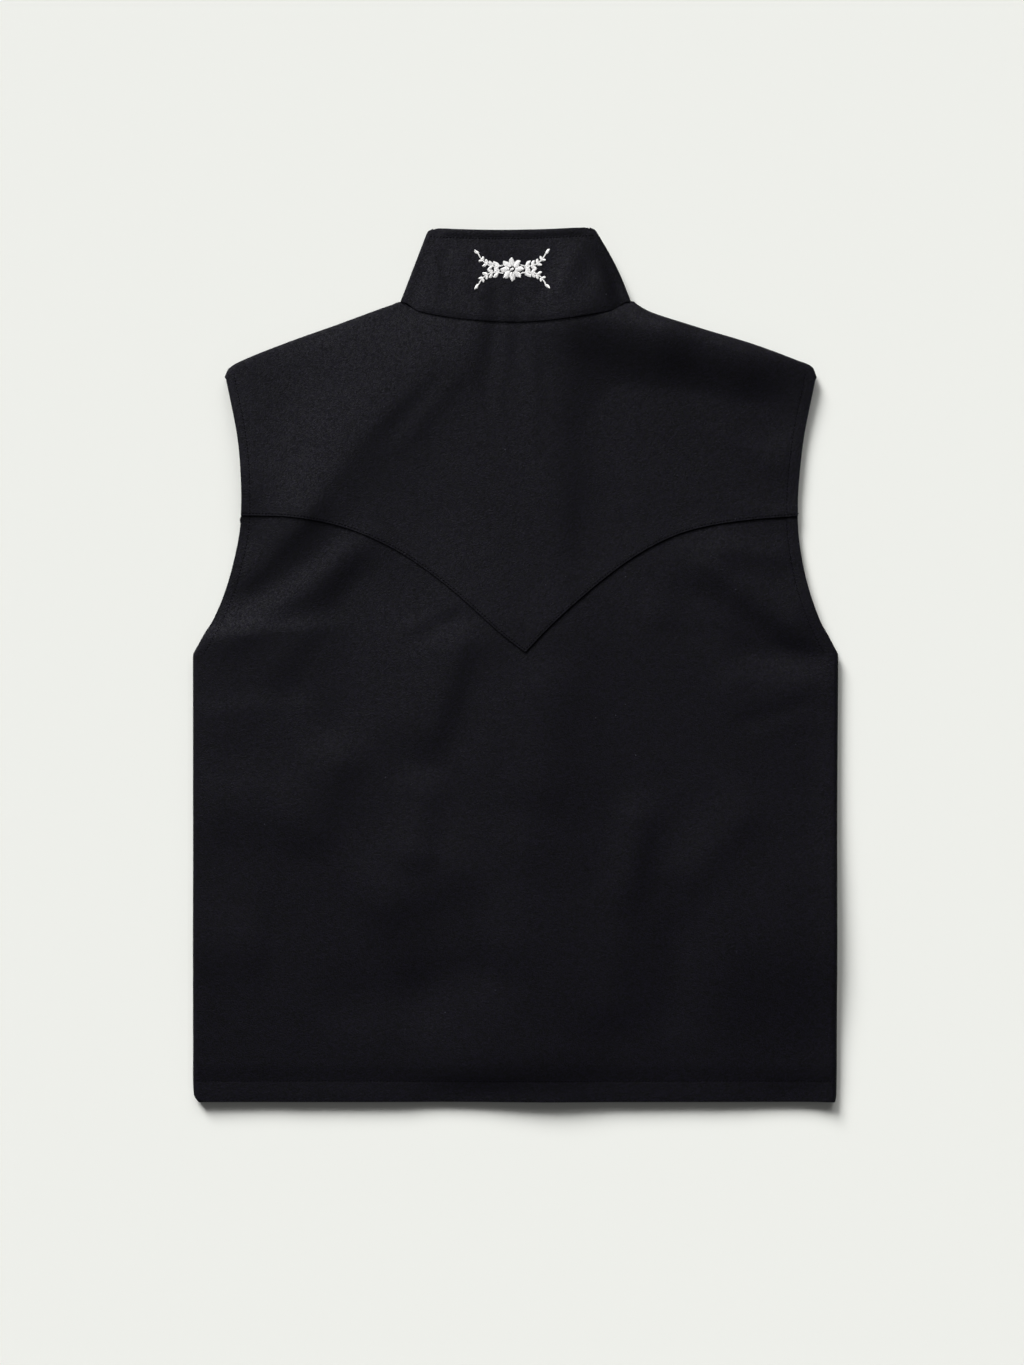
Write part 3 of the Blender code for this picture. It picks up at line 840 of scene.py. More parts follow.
def backBody():
    hemY, endY, spacing = vestCut["hemY"], vestCut["yokeEndY"], bodySize["spacing"]
    hemRows, nearSeam = np.array(bodySize["hemRows"]), np.array(bodySize["seamRows"])
    tuckRows = np.array((*bodySize["tuckRows"], vestCut["yokeLap"]))
    topY = endY - nearSeam[0]
    count = int((topY - hemY - hemRows[-1]) / bodySize["rowSpacing"])
    evenRows = np.linspace(hemY + hemRows[-1], topY, count + 1)[1:]
    sideHeights = np.concatenate((hemY + hemRows, evenRows))
    seamHeights = endY - nearSeam[1:]
    left, right = edgePair(vestCut["pitY"])
    widest = right - left
    seamX, turns = panelColumns(*edgePair(endY), spacing, widest)
    seamY = yokeSeam(seamX)
    x = [panelColumns(*edgePair(height), spacing, widest)[0] for height in (*sideHeights, *seamHeights)]
    x = np.array(x + [seamX] * len(tuckRows))
    y = bowedRows(hemY, topY, seamY - nearSeam[0], (sideHeights - hemY) / (topY - hemY))
    y = np.concatenate((y, seamY - nearSeam[1:, None], seamY + tuckRows[:, None]))
    ends = np.concatenate((sideHeights, seamHeights, np.full(len(tuckRows), endY)))
    z = bodyHeight(x, y)
    z = rolledHeight(z, frontHeight(x, y), turns[None, :], sideStrength(ends)[:, None])
    return clothPiece("backBody", x, y, z, layOut["wall"], bodySize["rim"])


yokeSize = {
    "spacing": 2.7,
    "rowSpacing": 3.2,
    "rim": 0.5,
    "seamRows": (0.0, 0.5, 1.1, 1.8, 2.6, 3.4, 4.2, 5.4, 7.0, 9.0, 12.0),
    "extraHeight": 40.0,
    "collarEnd": (101.0, 4.5, 3.0),  # goes further up under the collar's ends: x, half width, height
    "turnStart": 3.0,
    "turnWidth": 6.0,
}


def neckTurn(x):
    # the shoulder's rounded edge ends at the neck point
    return smooth((np.abs(x) - vestCut["neckHalf"] + yokeSize["turnStart"]) / yokeSize["turnWidth"])


def backYoke():
    endY, tipY, roll, spacing = vestCut["yokeEndY"], vestCut["tipY"], layOut["roll"], yokeSize["spacing"]
    nearSeam = np.array(yokeSize["seamRows"])
    left, right = edgePair(tipY)
    widest = right - left
    topX, _ = panelColumns(left, right, spacing, widest)
    neckEdge = backNeck(topX) + vestCut["neckLap"] * (1 - np.clip(topX / vestCut["neckHalf"], -1, 1) ** 2)
    topY = np.where(np.abs(topX) > vestCut["neckHalf"], shoulderLine(topX), neckEdge)
    at, half, extra = yokeSize["collarEnd"]
    topY = topY + extra * bell(np.abs(topX) - at, half)
    evenX, _ = panelColumns(*edgePair(endY), spacing, widest)
    seamX = evenX.copy()
    seamX[np.argmin(np.abs(evenX - vestCut["yokePointX"]))] = vestCut["yokePointX"]  # a column at the point
    seamY = yokeSeam(seamX)
    count = int((tipY - endY + yokeSize["extraHeight"]) / yokeSize["rowSpacing"])
    shares = np.linspace(0, 1, count + 1)[1:]
    sideHeights = np.concatenate((endY + nearSeam, mix(endY + nearSeam[-1], tipY - roll, shares)))
    y = [seamY + d for d in nearSeam]
    y += [mix(seamY + nearSeam[-1], topY - roll, share) for share in shares]
    x = []
    for height in sideHeights:
        lean = smooth((tipY - height) / (tipY - endY))
        x.append(panelColumns(*edgePair(height), spacing, widest)[0] + (seamX - evenX) * lean)
    turns = [np.zeros_like(topX)] * len(sideHeights)
    for turn in rollTurns[::-1]:
        y.append(topY - roll * (1 - np.sin(turn)))
        x.append(topX)
        turns.append(np.full_like(topX, turn))
    x, y, turns = np.array(x), np.array(y), np.array(turns)
    z = rolledHeight(yokeHeight(x, y), frontHeight(x, y), turns, neckTurn(x))
    return clothPiece("backYoke", x, y, z, layOut["wall"], yokeSize["rim"])


frontSize = {
    "spacing": 4.2,
    "rowSpacing": 4.6,
    "rim": 0.75,
    "width": 270.0,
    "neckGap": 0.4,
    "hemRows": (0, 0.8, 2.5, 6, 10, 14, 16.6, 17.8, 19, 20.2, 21.4, 24),
    "lapColumns": (9.5, 8.2, 7.6, 7.0, 6.4, 5.8, 4.4, 2.6, 1.2, 0.0),
}
mirrors = {"left": 1.0, "right": -1.0}


def frontColumns(side, height):
    # x across a row, closer at the side and at the lap's edge
    pitY, tipY, mirror = vestCut["pitY"], vestCut["tipY"], mirrors[side]
    lapEdge, lapInsets = mirror * vestCut["lapHalf"], np.array(frontSize["lapColumns"])
    scoop = math.sin(math.pi * min(1.0, max(0.0, (height - pitY) / (tipY - pitY))))
    edge = float(edgeX(side, height)) + mirror * vestCut["frontScoop"] * scoop
    start, end = edge + mirror * edgeInsets[-1], lapEdge - mirror * lapInsets[0]
    count = int(frontSize["width"] / frontSize["spacing"])
    inner = mix(start, end, np.linspace(0, 1, count + 1)[1:-1])
    fromEdge = np.concatenate((rollInsets, edgeInsets))
    return np.concatenate((edge + mirror * fromEdge, inner, lapEdge - mirror * lapInsets))


def frontPanel(name, side):
    hemY, roll, hemRows = vestCut["hemY"], layOut["roll"], np.array(frontSize["hemRows"])
    endY = vestCut["tipY"] - roll
    topX = frontColumns(side, vestCut["tipY"])
    neckEdge = frontNeck(topX) - frontSize["neckGap"]
    topY = np.where(np.abs(topX) > vestCut["neckHalf"], shoulderLine(topX), neckEdge)
    count = int((endY - hemY - hemRows[-1]) / frontSize["rowSpacing"])
    heights = np.concatenate((hemY + hemRows, np.linspace(hemY + hemRows[-1], endY, count + 1)[1:]))
    rollY = topY - roll * (1 - np.sin(rollTurns[::-1]))[:, None]
    y = bowedRows(hemY, endY, topY - roll, (heights - hemY) / (endY - hemY))
    y = np.concatenate((y, rollY))
    x = np.array([frontColumns(side, height) for height in heights] + [topX] * len(rollTurns))
    z = frontHeight(x, y) + lapHeight(side, x, layOut["wall"])
    flat, top = slice(len(heights)), slice(len(heights), None)
    sideTurns = np.zeros(x.shape[1])
    sideTurns[: len(rollTurns)] = rollTurns
    z[flat] = rolledHeight(z[flat], bodyHeight(x, y)[flat], sideTurns, sideStrength(heights)[:, None])
    z[top] = rolledHeight(z[top], yokeHeight(x[top], y[top]), rollTurns[::-1][:, None], neckTurn(x[top]))
    for line in (hemStitch, lapStitchLine(side)):
        z -= groove(line[[0, -1]], x, y, topstitch["frontGroove"])
    if side == "right":
        x, y, z = x[:, ::-1], y[:, ::-1], z[:, ::-1]
    return clothPiece(name, x, y, z, layOut["wall"], frontSize["rim"])


collarShape = {
    "wall": 2.8,
    "footX": 102.6,
    "footY": 327.0,
    "topY": 393.0,
    "leftTop": 77.6,
    "rightTop": 70.1,
    "topDip": 2.4,
    "frontHeight": 75.0,
    "overYoke": 1.2,
    "footBulge": 0.7,
    "footRise": 1 / 15,
    "level": 0.15,
    "leftTopZ": 8.8,
    "rightTopZ": 15.5,
    "foldDepth": 1.2,
    "rightBow": 2.6,
    "rightBowFrom": 40.0,
    "rightBowWidth": 50.0,
    "cornerDrop": 1.5,
    "cornerRound": 3.0,
    "cornerFrom": 56.0,
    "cornerWidth": 12.0,
    "curl": 1.2,
    "curlWidth": 5.5,
    "curlTurn": 0.35,
    "curlTurnWidth": 2.4,
    "curlMiddle": -4.0,
    "curlHalf": 68.0,
    "curlFade": 14.0,
    "creaseTaper": 0.3,
    "pucker": (0.16, 8.0, 7.0, 21),  # along the stitching: height, size, reach, seed
    "lumps": (0.25, 24.0, 22),  # height, size, seed
    "stitchEnds": (-76.0, 69.0),
    "foldShare": 0.045,
    # how quickly the back of the band comes away from its two folds
    "footEase": 4,
    "riseEase": 3,
    "cornerEase": 8,
    "reliefEase": 2.4,
    "rows": 44,
    "frontRibs": 58,
    "foldRibs": 15,
    "backRibs": 100,
    "rim": 0.95,
}
collarCreases = (
    (-62, 326, 0, -86, 386, 8, 8, 0.8),
    (-55, 330, 0, -72, 378, 7, 7, -0.7),
    (-40, 330, 0, -58, 376, 8, 8, 0.6),
    (-28, 332, 0, -44, 372, 6, 8, -0.4),
    (8, 330, 0, 30, 376, 8, 7, 0.4),
    (20, 324, 0, 43, 382, 7, 8, -0.5),
    (36, 324, 0, 60, 384, 9, 8, 0.6),
    (52, 324, 0, 80, 382, 10, 9, -0.7),
    (72, 320, 0, 94, 366, 9, 7, 0.4),
    (-20, 372, 3, 22, 366, 14, 14, 0.3),
)


def frontRibs(side):
    # each rib of the collar is a foot and a top: x, y, z, x, y, z
    shape, mirror = collarShape, mirrors[side]
    share = np.linspace(1 + vestCut["lapHalf"] / shape["footX"], shape["foldShare"], shape["frontRibs"])
    lowX = -mirror * shape["footX"] * (1 - share)
    highX = np.where(share > 1, lowX, -mirror * shape[side + "Top"] * (1 - share))
    fallen = 1 - np.abs(1 - share)
    lowY = shape["footY"] - frontFall(fallen, vestCut["frontNeckDrop"])
    drop = shape["topY"] - (shape["footY"] - vestCut["frontNeckDrop"] + shape["frontHeight"])
    highY = shape["topY"] - frontFall(fallen, drop)
    rises = [shape["wall"] / 2 + lapHeight(side, x, shape["wall"]) for x in (lowX, highX)]
    return np.stack((lowX, lowY, rises[0], highX, highY, rises[1]), axis=1)


def foldRibs(side, footZ):
    shape, mirror = collarShape, mirrors[side]
    low = shape["wall"] / 2
    turn = np.radians(np.linspace(-90, 90, shape["foldRibs"]))
    across = mirror * shape["foldDepth"] * (1 - np.cos(turn))
    ends = []
    for x, y, high in (
        (-mirror * shape["footX"], shape["footY"], footZ),
        (-mirror * shape[side + "Top"], shape["topY"] - shape["cornerDrop"], shape[side + "TopZ"]),
    ):
        ends += [x + across, np.full_like(turn, y), low + (high - low) / 2 * (1 + np.sin(turn))]
    return np.stack(ends, axis=1)


def backRibs(leftFold, rightFold):
    shape = collarShape
    share = np.linspace(0, 1, shape["backRibs"] + 2)[1:-1]
    bow = arch(share)
    x, _, ends, highX, _, highZ = (mix(leftFold[k], rightFold[k], share) for k in range(6))
    lowY = mix(shape["footY"], backNeck(x), smooth(shape["footEase"] * bow))
    lowZ = mix(ends, yokeHeight(x, lowY) + shape["overYoke"], smooth(shape["riseEase"] * bow))
    corner = shape["cornerDrop"] * (1 - smooth(shape["cornerEase"] * bow))
    highY = shape["topY"] - shape["topDip"] * bow - corner
    return np.stack((x, lowY, lowZ, highX, highY, highZ), axis=1)


def collarBand():
    shape = collarShape
    fronts, folds = [], []
    for side, mirror in mirrors.items():
        foot = yokeHeight(np.array(-mirror * shape["footX"]), np.array(shape["footY"]))
        fronts.append(frontRibs(side))
        folds.append(foldRibs(side, float(foot) + shape["overYoke"]))
    back = backRibs(folds[0][-1], folds[1][-1])
    ribs = np.concatenate((fronts[0], folds[0], back, folds[1][::-1], fronts[1][::-1]))
    start = shape["frontRibs"] + shape["foldRibs"]
    onBack = np.zeros(len(ribs))
    onBack[start : start + len(back)] = smooth(shape["reliefEase"] * arch(np.linspace(0, 1, len(back))))
    up = np.linspace(0, 1, shape["rows"] + 1)[:, None]
    x = mix(ribs[:, 0], ribs[:, 3], up)
    atRight = smooth((x - shape["rightBowFrom"]) / shape["rightBowWidth"])
    x = x + shape["rightBow"] * np.sin(np.pi * up) * atRight
    rounded = np.clip(1 - (1 - up) * (shape["topY"] - shape["footY"]) / shape["cornerRound"], 0, 1)
    inward = shape["cornerRound"] * (1 - np.sqrt(1 - rounded**2))
    x = x - np.sign(x) * inward * smooth((np.abs(x) - shape["cornerFrom"]) / shape["cornerWidth"])
    y = mix(ribs[:, 1], ribs[:, 4], up)
    z = mix(ribs[:, 2], ribs[:, 5], smooth((up - shape["level"]) / (1 - shape["level"])))
    fromTop = (1 - up) * np.hypot(ribs[:, 3] - ribs[:, 0], ribs[:, 4] - ribs[:, 1])
    fromStitch = fromTop - topstitch["collarIn"]
    relief = layOut["creaseScale"] * creaseHeight(collarCreases, x, y, shape["creaseTaper"])
    height, size, seed = shape["lumps"]
    relief = relief + height * softNoise(x, y, size, seed)
    relief = relief - topstitch["groove"] * bell(fromStitch, topstitch["grooveWidth"])
    curl = smooth(-fromStitch / shape["curlWidth"])
    curl = curl - shape["curlTurn"] * smooth(1 - fromTop / shape["curlTurnWidth"])
    inCurl = smooth((shape["curlHalf"] - np.abs(x - shape["curlMiddle"])) / shape["curlFade"])
    relief = relief + shape["curl"] * curl * inCurl + shape["footBulge"] * smooth(up / shape["footRise"])
    height, size, reach, seed = shape["pucker"]
    relief = relief + height * softNoise(x, 0 * x, size, seed) * np.exp(-np.abs(fromStitch) / reach)
    return clothPiece("collarBand", x, y, z + onBack * relief, shape["wall"], shape["rim"])


body = backBody()
yoke = backYoke()
collar = collarBand()
leftFront = frontPanel("leftFront", "left")
rightFront = frontPanel("rightFront", "right")
clothPieces = (body, yoke, collar, leftFront, rightFront)
bpy.context.view_layer.update()
print("cloth pieces", [(piece.name, len(piece.data.polygons)) for piece in clothPieces])


def clothSurface(piece):
    return BVHTree.FromObject(piece, bpy.context.evaluated_depsgraph_get())


surfaces = {piece.name: clothSurface(piece) for piece in clothPieces}


def laidOn(names, line, clearance, below=False):
    # points of a plan line dropped on the cloth from above, or raised to it from below
    start, way = (-0.05, 1.0) if below else (0.05, -1.0)
    placed = []
    for x, y in line:
        hits = []
        for name in names:
            spot = surfaces[name].ray_cast(Vector((x * mm, y * mm, start)), Vector((0, 0, way)))[0]
            if spot is not None:
                hits.append(spot.z)
        if hits:
            z = min(hits) if below else max(hits)
            placed.append((x * mm, y * mm, z - way * clearance * mm))
    return placed


def newTree(name, sockets):
    tree = bpy.data.node_groups.new(name, "GeometryNodeTree")
    tree.interface.new_socket("Geometry", in_out="INPUT", socket_type="NodeSocketGeometry")
    for socket, kind in sockets.items():
        tree.interface.new_socket(socket, in_out="INPUT", socket_type="NodeSocket" + kind)
    tree.interface.new_socket("Geometry", in_out="OUTPUT", socket_type="NodeSocketGeometry")
    return tree, addNode(tree, "NodeGroupInput").outputs


def finishTree(tree, geometry, material):
    real = addNode(tree, "GeometryNodeRealizeInstances", links={"Geometry": geometry})
    smoothed = addNode(tree, "GeometryNodeSetShadeSmooth", links={"Geometry": real.outputs["Geometry"]})
    coloured = addNode(
        tree, "GeometryNodeSetMaterial",
        links={"Geometry": smoothed.outputs["Geometry"], "Material": material},
    )
    addNode(tree, "NodeGroupOutput", links={"Geometry": coloured.outputs["Geometry"]})
    return tree


def threadTree():
    # runs of stitches: rice-shaped grains along a curve, each slanted and turned a little at random
    tree, given = newTree("stitchRun", {
        "Pitch": "Float", "Length": "Float", "Thickness": "Float", "Slant": "Float", "Seed": "Int",
        "Material": "Material",
    })
    spaced = addNode(
        tree, "GeometryNodeResampleCurve", {"mode": "LENGTH"},
        links={"Curve": given["Geometry"], "Length": given["Pitch"]},
    )
    grain = addNode(tree, "GeometryNodeMeshUVSphere", values={"Segments": 6, "Rings": 5, "Radius": 0.5})
    size = addNode(
        tree, "ShaderNodeCombineXYZ",
        links={"X": given["Length"], "Y": given["Thickness"], "Z": given["Thickness"]},
    )
    upright = addNode(
        tree, "GeometryNodeTransform", values={"Rotation": (0, math.pi / 2, 0)},
        links={"Geometry": grain.outputs["Mesh"]},
    )
    stretched = addNode(
        tree, "GeometryNodeTransform",
        links={"Geometry": upright.outputs["Geometry"], "Scale": size.outputs["Vector"]},
    )
    tangent = addNode(tree, "GeometryNodeInputTangent")
    along = addNode(
        tree, "FunctionNodeAlignRotationToVector", {"axis": "X"}, links={"Vector": tangent.outputs["Tangent"]}
    )
    jitter = addNode(
        tree, "FunctionNodeRandomValue", {"data_type": "FLOAT"},
        {2: -topstitch["jitter"], 3: topstitch["jitter"]}, {"Seed": given["Seed"]},
    )
    turn = addNode(
        tree, "ShaderNodeMath", {"operation": "ADD"}, links={0: jitter.outputs[1], 1: given["Slant"]}
    )
    spin = addNode(tree, "ShaderNodeCombineXYZ", links={"Z": turn.outputs[0]})
    spinTurn = addNode(tree, "FunctionNodeEulerToRotation", links={"Euler": spin.outputs["Vector"]})
    slanted = addNode(
        tree, "FunctionNodeRotateRotation", {"rotation_space": "LOCAL"},
        links={"Rotation": along.outputs["Rotation"], "Rotate By": spinTurn.outputs["Rotation"]},
    )
    grains = addNode(
        tree, "GeometryNodeInstanceOnPoints",
        links={
            "Points": spaced.outputs["Curve"],
            "Instance": stretched.outputs["Geometry"],
            "Rotation": slanted.outputs["Rotation"],
        },
    )
    return finishTree(tree, grains.outputs["Instances"], given["Material"])


def strandTree():
    # satin stitches: each short curve becomes a round strand of thread
    tree, given = newTree("satinStrands", {"Radius": "Float", "Material": "Material"})
    ring = addNode(
        tree, "GeometryNodeCurvePrimitiveCircle", values={"Resolution": 5}, links={"Radius": given["Radius"]}
    )
    strands = addNode(
        tree, "GeometryNodeCurveToMesh", values={"Fill Caps": True},
        links={"Curve": given["Geometry"], "Profile Curve": ring.outputs["Curve"]},
    )
    return finishTree(tree, strands.outputs["Mesh"], given["Material"])


stitchRun = threadTree()
satinStrands = strandTree()


def sewn(name, lines, tree, inputs, material):
    # curves through the given lines, grown by a node tree and kept as a plain mesh
    path = bpy.data.curves.new(name + "Path", "CURVE")
    path.dimensions = "3D"
    for line in lines:
        spline = path.splines.new("POLY")
        spline.points.add(len(line) - 1)
        for point, spot in zip(spline.points, line):
            point.co = (*spot, 1.0)
    guide = newObject(name + "Guide", path)
    grow = guide.modifiers.new("grow", "NODES")
    grow.node_group = tree
    sockets = {item.name: item.identifier for item in tree.interface.items_tree if item.in_out == "INPUT"}
    for key, value in inputs.items():
        grow[sockets[key]] = value
    grow[sockets["Material"]] = material
    grown = guide.evaluated_get(bpy.context.evaluated_depsgraph_get())
    mesh = bpy.data.meshes.new_from_object(grown)
    mesh.name = name
    guide.modifiers.remove(grow)
    bpy.data.objects.remove(guide, do_unlink=True)
    return newObject(name, mesh)


def stitched(name, lines, seed):
    sizes = {key.capitalize(): topstitch[key] * mm for key in ("pitch", "length", "thickness")}
    sizes.update({"Slant": topstitch["slant"], "Seed": seed})
    return sewn(name, lines, stitchRun, sizes, blackThread)


def collarStitchLine():
    share = np.linspace(0, 1, 120)
    y = collarShape["topY"] - collarShape["topDip"] * arch(share) - topstitch["collarIn"]
    return np.stack((mix(*collarShape["stitchEnds"], share), y), axis=1)


backCloth = ("backBody", "backYoke")
stitchRuns = (
    ("yokeStitches", ("backYoke",), yokeStitch),
    ("leftArmholeStitches", backCloth, leftArmholeStitch),
    ("rightArmholeStitches", backCloth, rightArmholeStitch),
    ("hemStitches", ("backBody",), hemStitch),
    ("collarStitches", ("collarBand",), collarStitchLine()),
)
stitches = {}
for seed, (name, cloth, line) in enumerate(stitchRuns, 1):
    stitches[name] = stitched(name, [laidOn(cloth, line, topstitch["sink"])], seed)
frontHems = {
    "left": hemStitch[hemStitch[:, 0] < vestCut["lapHalf"] - topstitch["endGap"]],
    "right": hemStitch[hemStitch[:, 0] > topstitch["rightHemFrom"]],
}
for side, hem in frontHems.items():
    name, front = side + "FrontStitches", (side + "Front",)
    lines = [laidOn(front, line, topstitch["frontSink"], True) for line in (hem, lapStitchLine(side))]
    stitches[name] = stitched(name, lines, 6)
print("stitches", {name: len(piece.data.polygons) for name, piece in stitches.items()})

# a small white spray in satin stitch at the middle of the collar: a rosette and four leafy stems
sprig = {
    "centre": (-3.2, 355.5),
    "petals": 8,
    "petalRoot": 2.6,
    "petalLength": 8.2,
    "petalWidth": 5.4,
    "stemStart": (8.0, 3.6),
    "stemEnd": (30.0, 13.5),
    "stemBend": 5.0,
    "stemShifts": (-0.42, 0.0, 0.42),
    "leafLength": 8.4,
    "leafWidth": 3.6,
    "leafPlaces": (4, 10, 16, 22),  # of the 30 points along a stem
    "leafShrink": 0.12,
    "leafLean": 0.85,
    "leafRun": (0.04, 0.98),
    "leafTaper": 0.8,
    "sideLeaf": 0.8,
    "tipLength": 0.7,
    "tipWidth": 0.75,
    "heart": 3.2,
    "strand": 0.27,
    "strandGap": 0.42,
    "strandLean": 0.55,
    "shortest": 0.25,
    "rise": 0.5,
    "bulge": (0.02, 0.75, 1.0, 0.75, 0.02),
}


def satinLeaf(root, angle, length, width):
    # strands laid across a leaf, close together, a little slanted
    strands = []
    along = np.array((math.cos(angle), math.sin(angle)))
    across = np.array((-along[1], along[0]))
    for t in np.arange(*sprig["leafRun"], sprig["strandGap"] / length):
        half = width / 2 * math.sin(math.pi * t ** sprig["leafTaper"])
        if half > sprig["shortest"]:
            middle = np.array(root) + along * length * t
            lean = along * half * sprig["strandLean"]
            strands.append([middle - across * half - lean, middle, middle + across * half + lean])
    return strands


def leafyStem(centre, wayX, wayY):
    start = centre + np.array(sprig["stemStart"]) * (wayX, wayY)
    end = centre + np.array(sprig["stemEnd"]) * (wayX, wayY)
    turn = np.array((-(end - start)[1], (end - start)[0])) / np.hypot(*(end - start)) * wayX * wayY
    t = np.linspace(0, 1, 30)[:, None]
    stem = mix(start, end, t) - turn * sprig["stemBend"] * arch(t)
    length, width = sprig["leafLength"], sprig["leafWidth"]
    strands = []
    for a, b in zip(stem, stem[1:]):
        for shift in sprig["stemShifts"]:
            strands.append([a + turn * shift, (a + b) / 2 + turn * shift, b + turn * shift])
    for k, at in enumerate(sprig["leafPlaces"]):
        run = stem[at + 1] - stem[at]
        heading = math.atan2(run[1], run[0])
        size = 1.0 - sprig["leafShrink"] * k
        for lean in (sprig["leafLean"], -sprig["leafLean"]):
            strands += satinLeaf(stem[at], heading + lean, length * size * sprig["sideLeaf"], width * size)
    return strands + satinLeaf(stem[-1], heading, length * sprig["tipLength"], width * sprig["tipWidth"])


def sprigStrands():
    centre, heart = np.array(sprig["centre"]), sprig["heart"]
    strands = satinLeaf(centre - (heart / 2, 0.0), 0.0, heart, heart)
    for k in range(sprig["petals"]):
        angle = math.pi / 2 + 2 * math.pi * k / sprig["petals"]
        root = centre + sprig["petalRoot"] * np.array((math.cos(angle), math.sin(angle)))
        strands += satinLeaf(root, angle, sprig["petalLength"], sprig["petalWidth"])
    for wayX in (-1, 1):
        for wayY in (-1, 1):
            strands += leafyStem(centre, wayX, wayY)
    return strands


def raisedStrands(strands):
    # strands lie on the collar and bulge at their middles
    raised = []
    for first, middle, last in strands:
        fine = [first, (first + middle) / 2, middle, (middle + last) / 2, last]
        spots = laidOn(("collarBand",), fine, 0.0)
        if len(spots) == len(fine):
            lifts = [sprig["rise"] * mm * share for share in sprig["bulge"]]
            raised.append([(x, y, z + lift) for (x, y, z), lift in zip(spots, lifts)])
    return raised


embroidery = sewn(
    "collarSprig", raisedStrands(sprigStrands()), satinStrands, {"Radius": sprig["strand"] * mm}, whiteThread
)
print("embroidery", len(embroidery.data.polygons))

# press stud caps: a pressed cap with a rolled rim and a shallow ring, as half an outline from the middle out
studCap = {
    "outline": (
        (0, 0.1), (2.6, 0.06), (4.2, 0.0), (4.6, 0.14), (5.1, 0.14), (5.5, 0.0), (6.7, 0.06), (7.3, 0.3),
        (7.5, 0.55), (7.5, 0.8), (0, 0.8),
    ),
    "sides": 36,
    "sharpest": 40,
}


def studPiece(name, node):
    low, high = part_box(node)
    middle = ((low[0] + high[0]) / 2, (low[1] + high[1]) / 2)
    form = bmesh.new()
    loop = [form.verts.new((x * mm, 0, z * mm)) for x, z in studCap["outline"]]
    edges = [form.edges.new(pair) for pair in zip(loop, loop[1:])]
    bmesh.ops.spin(
        form, geom=loop + edges, cent=(0, 0, 0), axis=(0, 0, 1), angle=2 * math.pi, steps=studCap["sides"]
    )
    bmesh.ops.remove_doubles(form, verts=form.verts, dist=1e-6)
    bmesh.ops.recalc_face_normals(form, faces=form.faces)
    bmesh.ops.translate(form, verts=form.verts, vec=(*middle, low[2]))
    mesh = bpy.data.meshes.new(name)
    form.to_mesh(mesh)
    form.free()
    mesh.shade_smooth()
    mesh.set_sharp_from_angle(angle=math.radians(studCap["sharpest"]))
    mesh.materials.append(studMetal)
    return newObject(name, mesh)


studNodes = sorted(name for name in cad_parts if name.startswith("press_stud"))
studs = {node: studPiece("studCap" + node.split("_")[-1], node) for node in studNodes}
print("press studs", len(studs))

# the floor, the light and the camera
studio = {
    "floor": "#eeefea",
    "floorHalf": 4,
    "floorRoughness": 0.95,
    "ambient": 0.10,
    # degrees to the left of the collar, degrees above the floor, degrees across, strength
    "softKey": (27.0, 27.0, 26.0, 5.0),
    "softFill": (-12.0, 35.0, 40.0, 0.98),
    # x, y and z in metres, size, power
    "glossPanel": (-0.50, 0.58, 0.70, 0.6, 12.0),
    "hemPanel": (0.50, -1.55, 0.22, 0.9, 3.0),
    "panelColour": "#eeeeff",
}
photoFrame = {
    "width": 1024,
    "scale": 0.9,  # millimetres to a pixel
    "centre": (-3.24, -14.85),
    "level": 5.0,
    "lens": 90.0,
    "sensor": 36.0,
}


def studioFloor():
    half = studio["floorHalf"]
    mesh = bpy.data.meshes.new("floor")
    corners = [(-half, -half, 0), (half, -half, 0), (half, half, 0), (-half, half, 0)]
    mesh.from_pydata(corners, [], [(0, 1, 2, 3)])
    material, _, shader = newMaterial("paleBoard")  # matt painted board
    setSockets(shader, {
        "Base Color": hexColour(studio["floor"]),
        "Roughness": studio["floorRoughness"],
        "Specular IOR Level": 0.0,
    })
    mesh.materials.append(material)
    return newObject("floor", mesh)


def facing(way):
    return Vector(way).to_track_quat("-Z", "Y").to_euler()


def softSun(name):
    turn, height, size, strength = studio[name]
    lamp = bpy.data.lights.new(name, "SUN")
    lamp.energy = strength
    lamp.angle = math.radians(size)
    turn, height = math.radians(turn), math.radians(height)
    travel = (math.sin(turn) * math.cos(height), -math.cos(turn) * math.cos(height), -math.sin(height))
    newObject(name, lamp).rotation_euler = facing(travel)


def softPanel(name):
    # a panel that shows in the nap's gloss alone, so that the cloth pales towards it and the floor stays even
    x, y, z, size, power = studio[name]
    lamp = bpy.data.lights.new(name, "AREA")
    lamp.size = size
    lamp.energy = power
    lamp.color = hexColour(studio["panelColour"])[:3]
    light = newObject(name, lamp)
    light.location = (x, y, z)
    light.rotation_euler = facing((-x, -y, -z))
    light.visible_diffuse = False
    light.visible_camera = False


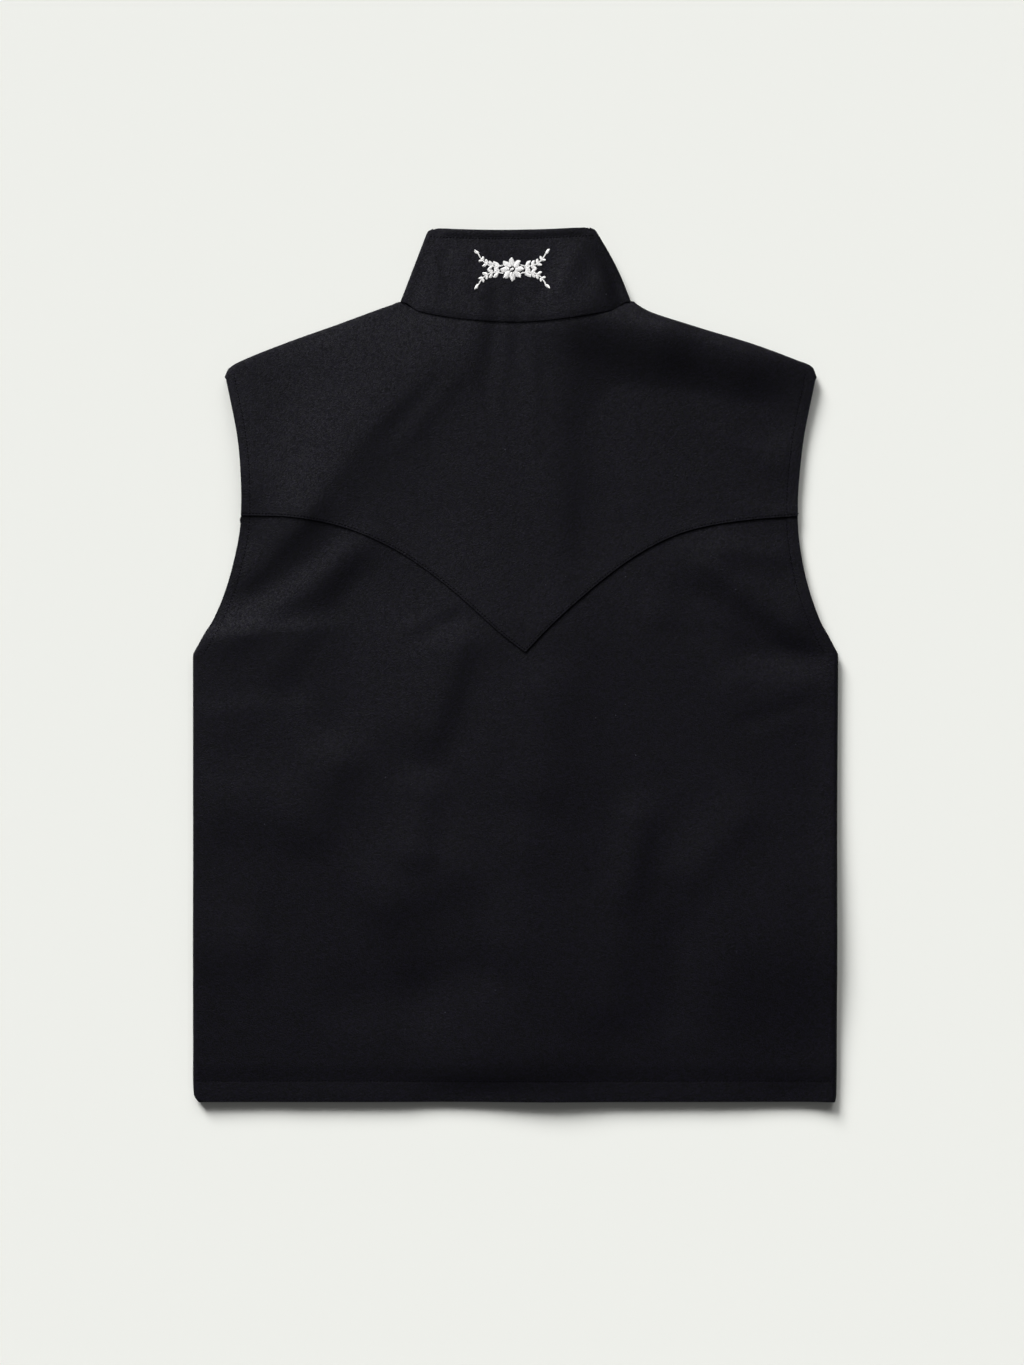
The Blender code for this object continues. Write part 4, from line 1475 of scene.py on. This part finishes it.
def photoCamera():
    data = bpy.data.cameras.new("photoCamera")
    data.sensor_fit = "HORIZONTAL"
    data.sensor_width = photoFrame["sensor"]
    data.lens = photoFrame["lens"]
    camera = newObject("photoCamera", data)
    across = photoFrame["width"] * photoFrame["scale"] * mm
    height = across * photoFrame["lens"] / photoFrame["sensor"] + photoFrame["level"] * mm
    camera.location = (photoFrame["centre"][0] * mm, photoFrame["centre"][1] * mm, height)
    bpy.context.scene.camera = camera


world = bpy.data.worlds.new("studioAir")
world.use_nodes = True
rays = addNode(world.node_tree, "ShaderNodeLightPath")
surround = addNode(  # faint light all round, and a wall of the floor's own colour behind it
    world.node_tree, "ShaderNodeMix", {"data_type": "RGBA"},
    {"A": (studio["ambient"],) * 3 + (1.0,), "B": hexColour(studio["floor"])},
    {"Factor": rays.outputs["Is Camera Ray"]},
)
world.node_tree.links.new(surround.outputs["Result"], world.node_tree.nodes["Background"].inputs["Color"])
bpy.context.scene.world = world
bpy.context.scene.view_settings.view_transform = "Standard"
floor = studioFloor()
softSun("softKey")
softSun("softFill")
softPanel("glossPanel")
softPanel("hemPanel")
photoCamera()
print("studio ready")

# what each piece stands for, what the cloth was cut to in metres, what it lies on and what is sewn on it
stitches["collarSprig"] = embroidery
sheets = (
    (body, "back_body", (0.62, 0.56), 0.30, [leftFront, rightFront],
     ("hemStitches", "leftArmholeStitches", "rightArmholeStitches")),
    (yoke, "back_yoke", (0.56, 0.34), 0.135, [body, leftFront, rightFront], ("yokeStitches",)),
    (collar, "collar", (0.46, 0.10), 0.034, [yoke], ("collarStitches", "collarSprig")),
    (leftFront, "front_left", (0.33, 0.75), 0.205, ["floor"], ("leftFrontStitches",)),
    (rightFront, "front_right", (0.33, 0.75), 0.205, ["floor", leftFront], ("rightFrontStitches",)),
)
for piece, node, flat, area, under, trims in sheets:
    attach(piece, "root")
    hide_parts(node)
for piece in stitches.values():
    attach(piece, "root")
for node, piece in studs.items():
    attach(piece, "root")
    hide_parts(node)
